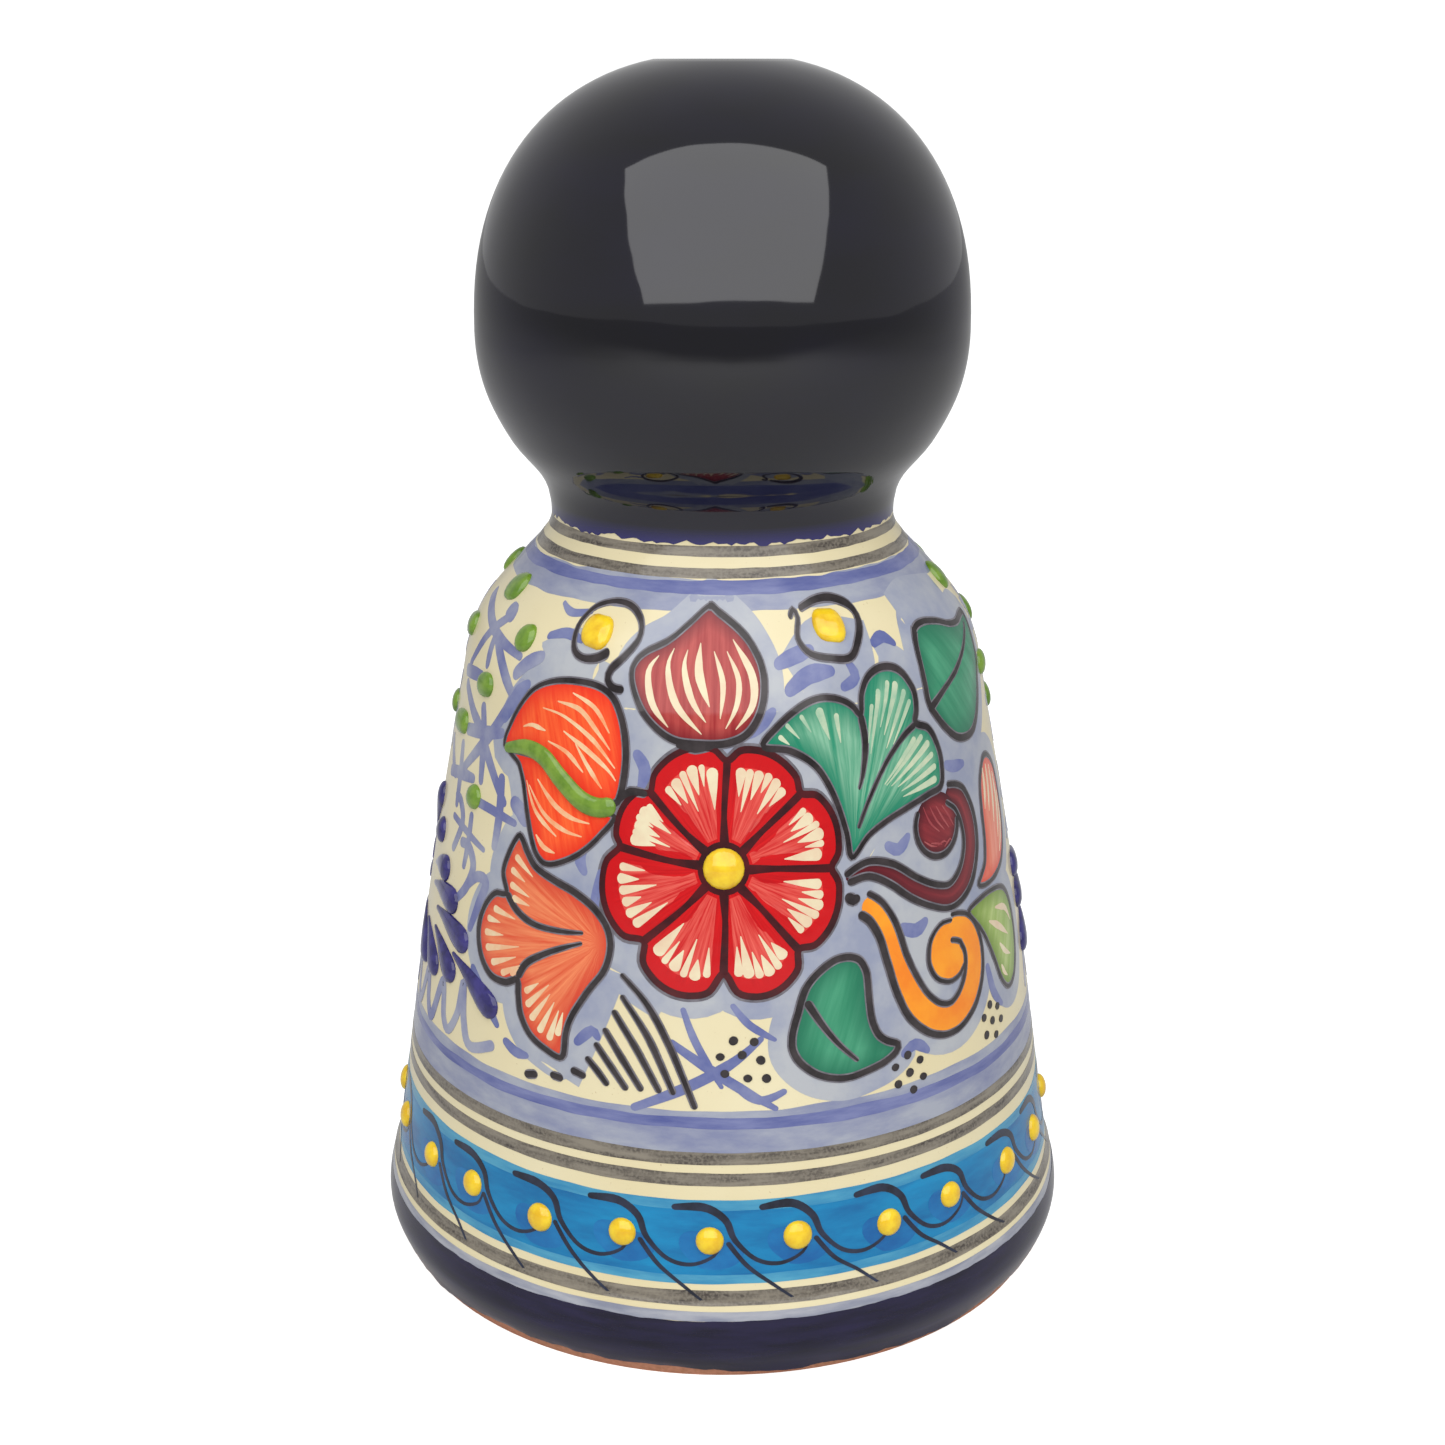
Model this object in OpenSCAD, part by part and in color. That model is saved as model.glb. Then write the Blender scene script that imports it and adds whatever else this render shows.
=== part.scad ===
// Talavera pottery vase: a thrown conical body and a round bulb luted together at the neck,
// glaze coats over the clay, and drops of raised enamel on the glaze.
// Millimetres, +Z up, origin at the centre of the foot, on the table. The painted face looks along -Y.

/* [Body] */
// Diameter of the foot where it meets the table
foot_d = 173; // [140:1:210]
// Widest diameter, at the cobalt band above the foot
band_d = 181; // [145:1:220]
// Height of the widest diameter
band_z = 10; // [7:0.5:14]
// Diameter just above the cobalt band, where the straight cone starts
cone_base_d = 173.4; // [140:0.2:208]
// Height where the straight cone starts
cone_base_z = 30; // [24:1:36]
// Diameter at the top of the cone, where the shoulder turns in
shoulder_d = 128.6; // [110:0.2:155]
// Height of the cone, from its start to the shoulder
cone_h = 131; // [105:1:160]
// How far the cone swells out between its ends
cone_swell = 1.2; // [0:0.1:3]

/* [Neck and bulb] */
// Height of the shoulder, from the top of the cone to the neck
shoulder_h = 32; // [24:1:40]
// Diameter of the neck
neck_d = 85.2; // [68:0.2:104]
// Widest diameter of the bulb
bulb_d = 120.6; // [100:0.2:146]
// Height from the neck to the widest part of the bulb
bulb_low_h = 45; // [36:1:56]
// Height of the bulb's dome over its widest part, if the dome were closed
dome_h = 63.9; // [52:0.1:78]
// Squareness of the dome: 2 is an ellipse, more is fuller
dome_fullness = 2.3; // [2:0.1:2.8]
// Diameter of the mouth
mouth_d = 26; // [20:1:40]

/* [Clay] */
// Thickness of the clay wall
wall = 5.5; // [4.5:0.1:6.8]
// Thickness of the clay floor
floor_t = 7; // [5:0.5:9]
// Width of the ring that the vase stands on
foot_ring_w = 9; // [7:0.5:12]
// Depth of the hollow under the foot
foot_recess = 2; // [1:0.5:3.5]

/* [Glaze] */
// Thickness of each glaze coat
glaze_t = 0.5; // [0.3:0.05:0.7]
// Height where the cobalt foot glaze starts, above the bare clay
foot_glaze_z = 2.2; // [1.5:0.1:4]
// Height where the cobalt foot glaze meets the cream glaze
foot_line_z = 17; // [14:0.5:20]
// Height of the cobalt glaze line above the clay seam at the neck
neck_line_rise = 1; // [0.5:0.1:2]

/* [Enamel] */
// Number of yellow beads round the band
bead_count = 25; // [19:1:30]
// Diameter of a yellow bead
bead_d = 6.6; // [5:0.1:8]
// Height of the bead row
bead_z = 36.3; // [32:0.1:42]
// Diameter of the yellow heart of each flower
heart_d = 9.8; // [8:0.1:12]
// Width of the raised green bud stem
stem_w = 4.6; // [3.5:0.1:5.6]
// Width of the head of a cobalt drop
drop_w = 6; // [4.8:0.1:7.2]
// Width of a green vine dot
dot_w = 5.4; // [4.2:0.1:6.6]
// Share of an enamel drop's radius that is sunk below the glaze
enamel_sink = 0.5; // [0.3:0.05:0.6]

/* [Hidden] */
$fn = 96;

// Heights up the vase
shoulder_z = cone_base_z + cone_h;
neck_z = shoulder_z + shoulder_h;
belly_z = neck_z + bulb_low_h;
neck_line_z = neck_z + neck_line_rise;

// Depths below the glazed surface
clay_out = glaze_t;
clay_in = glaze_t + wall;
liner_in = glaze_t + wall + glaze_t;

// The crest of the lip stands half the wall outside the mouth
lip_r = liner_in / 2;
crest_r = mouth_d / 2 + lip_r;

// Each row is [share of the height, share of the change in radius] up a curved stretch
cone_shares = [0, 0.5, 0.92];
shoulder_shape = [[0, 0], [0.31, 0.2], [0.63, 0.61], [0.82, 0.87], [1, 1]];
bulb_low_shape = [[0.2, 0.11], [0.42, 0.55], [0.7, 0.89], [1, 1]];
spline_steps = 4;
dome_steps = 16;
lip_steps = 10;
floor_fillet = 10;

function mix(a, b, t) = a + (b - a) * t;

// Radius of the swollen cone at a share of its height
function cone_r(t) = mix(cone_base_d, shoulder_d, t) / 2 + cone_swell * 4 * t * (1 - t);

// The outside as [radius, height] stations, from the table to the widest part of the bulb
stations = concat(
    [[foot_d / 2, 0], [band_d / 2, band_z], [mix(band_d, cone_base_d, 0.35) / 2, 2 * band_z]],
    [for (t = cone_shares) [cone_r(t), cone_base_z + cone_h * t]],
    [for (s = shoulder_shape)
        [mix(shoulder_d, neck_d, s[1]) / 2, shoulder_z + shoulder_h * s[0]]],
    [for (s = bulb_low_shape)
        [mix(neck_d, bulb_d, s[1]) / 2, neck_z + bulb_low_h * s[0]]]);

// A smooth curve through four stations, between the middle two
function curve(a, b, c, d, t) =
    0.5 * (2 * b + (c - a) * t + (2 * a - 5 * b + 4 * c - d) * t * t
        + (3 * b - a - 3 * c + d) * t * t * t);

// Past the last station the outline turns back, so that it meets the dome upright
belly = stations[len(stations) - 1];
before_belly = stations[len(stations) - 2];
function station(i) =
    i < len(stations) ? stations[max(i, 0)]
        : [before_belly[0], 2 * belly[1] - before_belly[1]];

below_belly = concat(
    [for (i = [0 : len(stations) - 2], k = [0 : spline_steps - 1])
        curve(station(i - 1), station(i), station(i + 1), station(i + 2), k / spline_steps)],
    [station(len(stations) - 1)]);

// The point of below_belly at index i, moved in along its normal by depth
function inset(i, depth) =
    let (last = len(below_belly) - 1,
        along = below_belly[min(i + 1, last)] - below_belly[max(i - 1, 0)],
        run = norm(along))
    i == last
        ? below_belly[i] - [depth, 0]
        : below_belly[i] - [along[1], -along[0]] * depth / run;

// The dome above the belly, a superellipse that ends over the crest of the lip
function dome(depth) =
    let (a = bulb_d / 2 - depth, b = dome_h - depth,
        last = acos(pow(crest_r / a, dome_fullness / 2)))
    [for (k = [1 : dome_steps])
        let (angle = last * k / dome_steps)
        [a * pow(cos(angle), 2 / dome_fullness),
            belly_z + b * pow(sin(angle), 2 / dome_fullness)]];

// The whole wall at a depth below the glazed surface, from the foot to the crest of the lip
function skin(depth) = concat(
    [[foot_d / 2 - depth, 0]],
    [for (i = [1 : len(below_belly) - 1]) inset(i, depth)],
    dome(depth));

// Radius of a skin at a height
function radius_at(path, z) = lookup(z, [for (p = path) [p[1], p[0]]]);

// The stretch of a skin between two heights, cut square at both
function stretch(path, low, high) = concat(
    [[radius_at(path, low), low]],
    [for (p = path) if (p[1] > low + 0.05 && p[1] < high - 0.05) p],
    [[radius_at(path, high), high]]);

// The stretch of a skin from a height up to the crest
function above(path, low) = concat(
    [[radius_at(path, low), low]],
    [for (p = path) if (p[1] > low + 0.05) p]);

function reversed(path) = [for (i = [len(path) - 1 : -1 : 0]) path[i]];

// The lip's half round, from the crest over the mouth and back under, between two skins
function lip(outer_depth, inner_depth) =
    let (top = above(skin(outer_depth), belly_z), under = above(skin(inner_depth), belly_z),
        high = top[len(top) - 1][1], low = under[len(under) - 1][1],
        r = (high - low) / 2)
    [for (k = [1 : lip_steps - 1])
        let (angle = 90 + 180 * k / lip_steps)
        [crest_r + r * cos(angle), (high + low) / 2 + r * sin(angle)]];

// The inside floor, rounded into the wall of a skin
function floor_line(depth) =
    let (z = floor_t + depth - clay_in, corner = z + floor_fillet,
        wall_r = radius_at(skin(depth), corner))
    concat([[0, z]],
        [for (k = [0 : 5])
            let (angle = 90 * k / 5)
            [wall_r - floor_fillet + floor_fillet * sin(angle),
                corner - floor_fillet * cos(angle)]]);

// The inside of the vase at a depth, from the middle of the floor up to a height
function inside(depth, high) =
    let (z = floor_t + depth - clay_in + floor_fillet)
    concat(floor_line(depth),
        [for (p = stretch(skin(depth), z, high)) if (p[1] > z + 0.05) p]);

module clay_body() {
    color("#b5694a")
        rotate_extrude()
            polygon(concat(
                stretch(skin(clay_out), 0, neck_z),
                reversed(inside(clay_in, neck_z)),
                [[0, foot_recess], [foot_d / 2 - foot_ring_w - foot_recess, foot_recess],
                    [foot_d / 2 - foot_ring_w, 0]]));
}

module clay_bulb() {
    color("#b5694a")
        rotate_extrude()
            polygon(concat(
                above(skin(clay_out), neck_z),
                lip(clay_out, clay_in),
                reversed(above(skin(clay_in), neck_z))));
}

// The clear liner that makes the inside hold water
module inner_glaze() {
    color("#dcd0a8")
        rotate_extrude()
            polygon(concat(
                floor_line(clay_in),
                [for (p = above(skin(clay_in), floor_t + floor_fillet))
                    if (p[1] > floor_t + floor_fillet + 0.05) p],
                reversed([for (p = above(skin(liner_in), floor_t + glaze_t + floor_fillet))
                    if (p[1] > floor_t + glaze_t + floor_fillet + 0.05) p]),
                reversed(floor_line(liner_in))));
}

// A coat on the outside between two heights
module coat(low, high) {
    rotate_extrude()
        polygon(concat(
            stretch(skin(0), low, high),
            reversed(stretch(skin(clay_out), low, high))));
}

module cream_glaze() {
    color("#e6dcb8") coat(foot_line_z, neck_line_z);
}

module cobalt_foot_glaze() {
    color("#1d1a3c") coat(foot_glaze_z, foot_line_z);
}

module cobalt_bulb_glaze() {
    color("#14122c")
        rotate_extrude()
            polygon(concat(
                above(skin(0), neck_line_z),
                lip(0, liner_in),
                [dome(liner_in)[dome_steps - 1], dome(clay_in)[dome_steps - 1]],
                reversed(lip(clay_out, clay_in)),
                reversed(above(skin(clay_out), neck_line_z))));
}

// Everything inside the glazed surface between two heights, to cut enamel off at the glaze.
// Its seam is turned to where no enamel crosses it
module core(low, high, seam = -84.8) {
    rotate([0, 0, seam])
        rotate_extrude($fn = 240)
            polygon(concat([[0, low]], stretch(skin(0), low, high), [[0, high]]));
}

// Places on the glaze are [arc in mm at the turn radius, height], from the middle of the face
turn_r = 75;
function turn_of(place) = place[0] / turn_r * 180 / PI;
function lean_at(z) = atan((radius_at(skin(0), z + 1) - radius_at(skin(0), z - 1)) / 2);

// A point below a place on the glaze
function sunk(place, depth) =
    let (lean = lean_at(place[1]), r = radius_at(skin(0), place[1]) - depth * cos(lean))
    [r * sin(turn_of(place)), -r * cos(turn_of(place)), place[1] + depth * sin(lean)];

// A ball of enamel sunk below a place, with its pole square to the glaze
module ball(place, r) {
    translate(sunk(place, r * enamel_sink))
        rotate([0, 90 + lean_at(place[1]), turn_of(place) - 90])
            sphere(r);
}

// Heights of the motif are for a wall that runs 163 mm from the start of the cone to the neck,
// and they spread or close up with it
function on_face(place) =
    [place[0], cone_base_z + (place[1] - cone_base_z) * (neck_z - cone_base_z) / 163];

// A round drop of enamel, of a width where it meets the glaze
module bead(place, width) {
    ball(place, width / 2 / sqrt(1 - enamel_sink * enamel_sink));
}

// A straight run of enamel between two points
module run(from, to, from_r, to_r) {
    line = to - from;
    translate(from)
        rotate([0, acos(line[2] / norm(line)), atan2(line[1], line[0])])
            cylinder(h = norm(line), r1 = from_r, r2 = to_r);
}

// A line of enamel through a list of places, with a knuckle at each
module bead_line(places, r) {
    points = [for (p = places) sunk(p, r * enamel_sink)];
    for (i = [0 : len(points) - 2]) run(points[i], points[i + 1], r * 0.92, r * 0.92);
    for (p = places) ball(p, r);
}

// A drop of enamel: a round head with a tail drawn out of it
module drop(tail, head, width) {
    r = width / 2;
    run(sunk(tail, tail_r * enamel_sink), sunk(head, r * enamel_sink), tail_r, r * 0.85);
    ball(head, r);
}

// The painted face is repeated on the back, half a turn round
module on_both_faces() {
    for (turn = [0, 180]) rotate([0, 0, turn]) children();
}

// The side panels fill the gaps between the two bouquets, which reach further to the right
panel_turn = -76.4;
module on_both_sides() {
    for (turn = [panel_turn, panel_turn + 180]) rotate([0, 0, turn]) children();
}

// A low dome of enamel on a short wall, which is cut to the curve of the glaze
module band_bead(width) {
    r = width / 2 / sqrt(1 - enamel_sink * enamel_sink);
    half = acos(enamel_sink);
    rotate_extrude()
        polygon(concat(
            [[0, -bead_root], [width / 2, -bead_root]],
            [for (k = [0 : 6])
                [r * sin(half * (1 - k / 6)), r * cos(half * (1 - k / 6)) - r * enamel_sink]]));
}
bead_root = 0.4;

module band_beads() {
    color("#e9c92c")
        for (i = [0 : bead_count - 1])
            rotate([0, 0, i * 360 / bead_count + 0.9 * sin(211 * i) - 2])
                difference() {
                    translate(sunk([0, bead_z + 0.7 * sin(137 * i)], 0))
                        rotate([90 + lean_at(bead_z), 0, 0])
                            band_bead(bead_d + 0.3 * sin(97 * i));
                    core(bead_z - bead_d, bead_z + bead_d, 0);
                }
}

loop_places = [for (p = [[-39.6, 174.3], [33.9, 176]]) on_face(p)];
module loop_beads() {
    color("#f0c420")
        difference() {
            on_both_faces() for (place = loop_places) bead(place, bead_d);
            core(loop_places[0][1] - 2 * bead_d, loop_places[0][1] + 2 * bead_d);
        }
}

heart_place = on_face([0.3, 124.2]);
module flower_hearts() {
    color("#f2c81e")
        difference() {
            on_both_faces() bead(heart_place, heart_d);
            core(heart_place[1] - heart_d, heart_place[1] + heart_d);
        }
}

stem_places = [for (p = [[-64.5, 144.4], [-57, 146], [-50, 145], [-43.4, 140.8], [-36.8, 136.9],
    [-28.5, 136.8]]) on_face(p)];
module bud_stems() {
    color("#5f8f24")
        difference() {
            on_both_faces() bead_line(stem_places, stem_w / 2);
            core(stem_places[4][1] - 3 * stem_w, stem_places[1][1] + 3 * stem_w);
        }
}

// The spray on a side panel, as the tail and head of each drop, from the panel's middle
tail_r = 1;
drop_places = [for (p = [
    [[23.1, 88.5], [40.1, 82.5]], [[9.1, 95.8], [26.6, 93.8]], [[3.3, 100.5], [19.3, 101.5]],
    [[1, 105.7], [13, 107.6]], [[-7.6, 108.4], [3.6, 114.3]], [[-13.5, 108.5], [-7, 122.5]],
    [[5.4, 92], [22.4, 84.8]], [[-1.8, 90.5], [12.2, 80.5]], [[-11, 90.5], [3, 80.5]],
    [[-14, 100.5], [-30, 101.5]], [[-11.5, 97], [-29.5, 93.8]], [[-13.5, 88.5], [-30.5, 82.5]]])
    [on_face(p[0]), on_face(p[1])]];

module cobalt_drops() {
    color("#26246a")
        difference() {
            on_both_sides() for (p = drop_places) drop(p[0], p[1], drop_w);
            core(drop_places[0][1][1] - drop_w, drop_places[5][1][1] + drop_w);
        }
}

// The dots that ride on the painted stars above the spray
dot_places = [for (p = [[12, 178], [34.4, 169.8], [20.3, 156.3], [5.8, 143.7], [22.9, 129.2],
    [-8, 165.4], [-30, 178], [-31, 156.3], [-14.5, 143.7]]) on_face(p)];

module vine_dots() {
    color("#6d9c33")
        difference() {
            on_both_sides() for (p = dot_places) bead(p, dot_w);
            core(dot_places[4][1] - dot_w, dot_places[0][1] + dot_w);
        }
}

clay_body();
clay_bulb();
inner_glaze();
cream_glaze();
cobalt_foot_glaze();
cobalt_bulb_glaze();
band_beads();
loop_beads();
flower_hearts();
bud_stems();
cobalt_drops();
vine_dots();
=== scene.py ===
import bisect
import math

import bpy
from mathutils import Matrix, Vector, kdtree, noise
from mathutils.geometry import delaunay_2d_cdt


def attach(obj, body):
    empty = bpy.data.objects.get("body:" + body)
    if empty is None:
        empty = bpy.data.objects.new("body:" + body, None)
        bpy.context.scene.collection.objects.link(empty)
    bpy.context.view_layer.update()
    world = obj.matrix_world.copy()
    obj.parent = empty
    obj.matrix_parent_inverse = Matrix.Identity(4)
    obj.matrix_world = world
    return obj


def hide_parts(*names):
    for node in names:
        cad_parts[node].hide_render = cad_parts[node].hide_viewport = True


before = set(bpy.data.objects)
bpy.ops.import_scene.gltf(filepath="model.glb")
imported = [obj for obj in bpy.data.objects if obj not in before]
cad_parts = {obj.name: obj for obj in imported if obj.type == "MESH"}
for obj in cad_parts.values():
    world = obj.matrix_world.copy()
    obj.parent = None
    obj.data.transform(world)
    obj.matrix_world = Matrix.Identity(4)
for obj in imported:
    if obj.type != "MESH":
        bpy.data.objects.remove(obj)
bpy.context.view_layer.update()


# ---------------------------------------------------------------------------------------------
# The table, the light and the eye. A white seamless table under a soft sky, with one broad diffuser
# above the front for the patch of sheen on the dark bulb. Table and sky are brighter to the eye
# than to the vase, so the glaze stays dark. The eye is level with the top of the vase.
scene = bpy.context.scene

bpy.ops.object.select_all(action="DESELECT")
bpy.ops.mesh.primitive_plane_add(size=60, location=(0, 0, 0))
table = bpy.context.object
table.name = "table"
table_white = bpy.data.materials.new("table_white")
table_white.use_nodes = True
matt = table_white.node_tree.nodes["Principled BSDF"]
matt.inputs["Base Color"].default_value = (0.60, 0.60, 0.60, 1)
matt.inputs["Roughness"].default_value = 1.0
matt.inputs["Emission Color"].default_value = (1, 1, 1, 1)
watched = table_white.node_tree.nodes.new("ShaderNodeLightPath").outputs["Is Camera Ray"]
paper = table_white.node_tree.nodes.new("ShaderNodeMapRange")
paper.inputs["To Max"].default_value = 0.80
table_white.node_tree.links.new(watched, paper.inputs["Value"])
table_white.node_tree.links.new(paper.outputs["Result"], matt.inputs["Emission Strength"])
table.data.materials.append(table_white)

sky = bpy.data.worlds.new("soft_sky")
scene.world = sky
sky.use_nodes = True
sky.node_tree.nodes["Background"].inputs["Color"].default_value = (1, 1, 1, 1)
seen = sky.node_tree.nodes.new("ShaderNodeLightPath").outputs["Is Camera Ray"]
strength = sky.node_tree.nodes.new("ShaderNodeMapRange")
strength.inputs["To Min"].default_value = 0.54
strength.inputs["To Max"].default_value = 1.05
sky.node_tree.links.new(seen, strength.inputs["Value"])
sky.node_tree.links.new(strength.outputs["Result"],
                        sky.node_tree.nodes["Background"].inputs["Strength"])
scene.view_settings.view_transform = "Standard"


def softbox(name, place, aim, width, height, watts):
    """A flat diffuser that faces a point."""
    lamp = bpy.data.lights.new(name, "AREA")
    lamp.shape = "RECTANGLE"
    lamp.size = width
    lamp.size_y = height
    lamp.energy = watts
    box = bpy.data.objects.new(name, lamp)
    scene.collection.objects.link(box)
    box.location = place
    box.rotation_euler = (Vector(aim) - Vector(place)).to_track_quat("-Z", "Y").to_euler()


softbox("front_diffuser", (0.05, -1.0, 1.15), (0, 0, 0.24), 2.5, 1.9, 31)

eye = bpy.data.cameras.new("eye")
eye.sensor_width = 36
eye.lens = 52.8
camera = bpy.data.objects.new("eye", eye)
scene.collection.objects.link(camera)
camera.location = (0, -0.5228, 0.3017)
camera.rotation_euler = (math.radians(72.48), 0, 0)
scene.camera = camera


# ---------------------------------------------------------------------------------------------
# The fired clay. Two thrown parts of sandy red earthenware, luted together at the neck before
# firing. It shows only as the bare edge and underside of the foot.
def blank(name):
    """A new material with its nodes, links, shader and places on the piece."""
    made = bpy.data.materials.new(name)
    made.use_nodes = True
    nodes = made.node_tree.nodes
    where = nodes.new("ShaderNodeTexCoord").outputs["Object"]
    return made, nodes, made.node_tree.links, nodes["Principled BSDF"], where


def grain(nodes, links, vector, scale, detail=4.0, stretch=(1, 1, 1), rough=0.55):
    """Noise over a vector, drawn out along its axes by stretch."""
    mapping = nodes.new("ShaderNodeMapping")
    mapping.inputs["Scale"].default_value = stretch
    links.new(vector, mapping.inputs["Vector"])
    cloud = nodes.new("ShaderNodeTexNoise")
    cloud.inputs["Scale"].default_value = scale
    cloud.inputs["Detail"].default_value = detail
    cloud.inputs["Roughness"].default_value = rough
    links.new(mapping.outputs["Vector"], cloud.inputs["Vector"])
    return cloud.outputs["Fac"]


def ramp(nodes, links, factor, *stops):
    """A colour ramp of (position, colour) stops."""
    node = nodes.new("ShaderNodeValToRGB")
    elements = node.color_ramp.elements
    while len(elements) < len(stops):
        elements.new(0.5)
    for element, (position, colour) in zip(elements, stops):
        element.position = position
        element.color = (*colour, 1)
    links.new(factor, node.inputs["Fac"])
    return node.outputs["Color"]


def blend_colours(nodes, links, factor, a, b):
    """Colours a and b mixed by a factor; each may be a socket or a colour."""
    node = nodes.new("ShaderNodeMix")
    node.data_type = "RGBA"
    for value, socket in ((factor, 0), (a, 6), (b, 7)):
        if isinstance(value, bpy.types.NodeSocket):
            links.new(value, node.inputs[socket])
        else:
            node.inputs[socket].default_value = (*value, 1)
    return node.outputs[2]


def ripple(nodes, links, shader, height, strength, distance):
    """Relief on the surface from a height socket."""
    bump = nodes.new("ShaderNodeBump")
    bump.inputs["Strength"].default_value = strength
    bump.inputs["Distance"].default_value = distance
    links.new(height, bump.inputs["Height"])
    links.new(bump.outputs["Normal"], shader.inputs["Normal"])


earthenware, nodes, links, shader, where = blank("earthenware")
sand = grain(nodes, links, where, 900, 5)
firing = grain(nodes, links, where, 45, 3)
body = ramp(nodes, links, sand, (0.3, (0.30, 0.145, 0.062)), (0.7, (0.56, 0.27, 0.17)))
body = blend_colours(nodes, links, firing, body, (0.50, 0.20, 0.12))
links.new(body, shader.inputs["Base Color"])
shader.inputs["Roughness"].default_value = 0.88
ripple(nodes, links, shader, sand, 0.5, 0.0004)
for node in ("clay_body", "clay_bulb"):
    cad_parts[node].data.materials.clear()
    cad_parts[node].data.materials.append(earthenware)


# ---------------------------------------------------------------------------------------------
# The glaze coats. An opaque cream tin glaze covers the cone, a near-black cobalt glaze is dipped
# over the bulb and brushed on the foot, and a clear honey liner is poured inside. Each coat is a
# half-millimetre skin that follows the turned outline of the clay.
MM = 0.001
COAT = 0.5
SPINS = 256
WELD = 0.000002

# Radius and height of the glazed outline in mm, from the table to the widest part of the bulb.
# Above it the dome is a fuller kind of ellipse, with the last of these as its power.
OUTLINE = [(86.5, 0), (90.5, 10), (89.17, 20), (86.7, 30), (76.7, 95.5), (66.44, 150.52),
           (64.3, 161), (59.96, 170.92), (51.06, 181.16), (45.42, 187.24), (42.6, 193),
           (44.55, 202), (52.34, 211.9), (58.35, 224.5), (60.3, 238)]
BULB_R, BULB_Z, DOME_H, DOME_POWER = 60.3, 238, 63.9, 2.3
DOME_STEPS, LIP_STEPS = 28, 14
# The clay wall with its outer coat, and the radius of the mouth
WALL = 6.0
MOUTH_R = 13


def between(a, b, c, d, t):
    """The smooth curve's point at a share t of the way from b to c, with a and d on either side."""
    return 0.5 * (2 * b + (c - a) * t + (2 * a - 5 * b + 4 * c - d) * t * t
                  + (3 * b - a - 3 * c + d) * t ** 3)


def turned_outline():
    """The outline as a dense smooth curve of (radius, height)."""
    curve = []
    (before_r, before_z), (_, belly_z) = OUTLINE[-2:]
    turned_back = OUTLINE + [(before_r, 2 * belly_z - before_z)]
    last = len(OUTLINE) - 1
    for i in range(last):
        a, b, c, d = (Vector(turned_back[max(k, 0)]) for k in (i - 1, i, i + 1, i + 2))
        curve += [between(a, b, c, d, k / 12) for k in range(12)]
    return curve + [Vector(OUTLINE[last])]


outline = turned_outline()
heights = [p.y for p in outline]


def radius(z):
    """Radius of the glazed wall in mm at a height in mm."""
    if z >= BULB_Z:
        rise = min((z - BULB_Z) / DOME_H, 0.999)
        return BULB_R * (1 - rise ** DOME_POWER) ** (1 / DOME_POWER)
    k = min(max(bisect.bisect(heights, z), 1), len(heights) - 1)
    a, b = outline[k - 1], outline[k]
    return a.x + (b.x - a.x) * (z - a.y) / (b.y - a.y)


def lean(z):
    """Unit normal of the wall at a height, as (outward, upward)."""
    slope = (radius(z + 0.5) - radius(z - 0.5))
    run = math.hypot(1, slope)
    return 1 / run, -slope / run


def skin(z, depth):
    """The point of the outline at a height, moved out along the normal by depth (mm)."""
    out, up = lean(z)
    return radius(z) + out * depth, z + up * depth


def dome_points(depth):
    """The dome from the widest part up to the crest of the lip, as (radius, height)."""
    crest = MOUTH_R + (WALL + COAT) / 2
    a, b = BULB_R + depth, DOME_H + depth
    end = math.acos((crest / a) ** (DOME_POWER / 2))
    points = []
    for k in range(1, DOME_STEPS + 1):
        angle = end * k / DOME_STEPS
        points.append((a * math.cos(angle) ** (2 / DOME_POWER),
                       BULB_Z + b * math.sin(angle) ** (2 / DOME_POWER)))
    return points


def opened(name, data):
    """A mesh linked as an object of its own, in edit mode with all of it selected."""
    piece = bpy.data.objects.new(name, data)
    scene.collection.objects.link(piece)
    bpy.ops.object.select_all(action="DESELECT")
    bpy.context.view_layer.objects.active = piece
    piece.select_set(True)
    bpy.ops.object.mode_set(mode="EDIT")
    bpy.ops.mesh.select_all(action="SELECT")
    return piece


def closed_up(piece, crease, material, nodes):
    """A piece leaves edit mode facing outwards, gets its finish and rides on the vase."""
    bpy.ops.mesh.normals_make_consistent(inside=False)
    bpy.ops.object.mode_set(mode="OBJECT")
    bpy.ops.object.shade_smooth_by_angle(angle=math.radians(crease))
    piece.data.materials.append(material)
    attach(piece, "root")
    if nodes:
        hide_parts(*nodes)


def turned(name, profile, material, slot, *nodes, rings=SPINS):
    """A closed profile of (radius, height) in mm, spun once round the vase's axis."""
    data = bpy.data.meshes.new(name)
    data.from_pydata([(r * MM, 0, z * MM) for r, z in profile],
                     [(i, (i + 1) % len(profile)) for i in range(len(profile))], [])
    piece = opened(name, data)
    bpy.ops.mesh.spin(steps=rings, angle=math.tau, center=(0, 0, 0), axis=(0, 0, 1))
    bpy.ops.mesh.select_all(action="SELECT")
    bpy.ops.mesh.remove_doubles(threshold=WELD)
    closed_up(piece, 35, material, nodes)
    return piece


def spaced(low, high, step):
    """Even heights from low to high."""
    count = max(1, round((high - low) / step))
    return [low + (high - low) * k / count for k in range(count + 1)]


def glossy(shader, roughness, coat=0.0, ior=1.42):
    """The wet shine of fired glaze."""
    shader.inputs["Roughness"].default_value = roughness
    shader.inputs["IOR"].default_value = ior
    if coat:
        shader.inputs["Coat Weight"].default_value = coat
        shader.inputs["Coat Roughness"].default_value = 0.04


def orange_peel(nodes, links, shader, where, strength):
    """The faint dimples of a glaze that has run and set."""
    ripple(nodes, links, shader, grain(nodes, links, where, 160, 2), strength, 0.0004)


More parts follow.
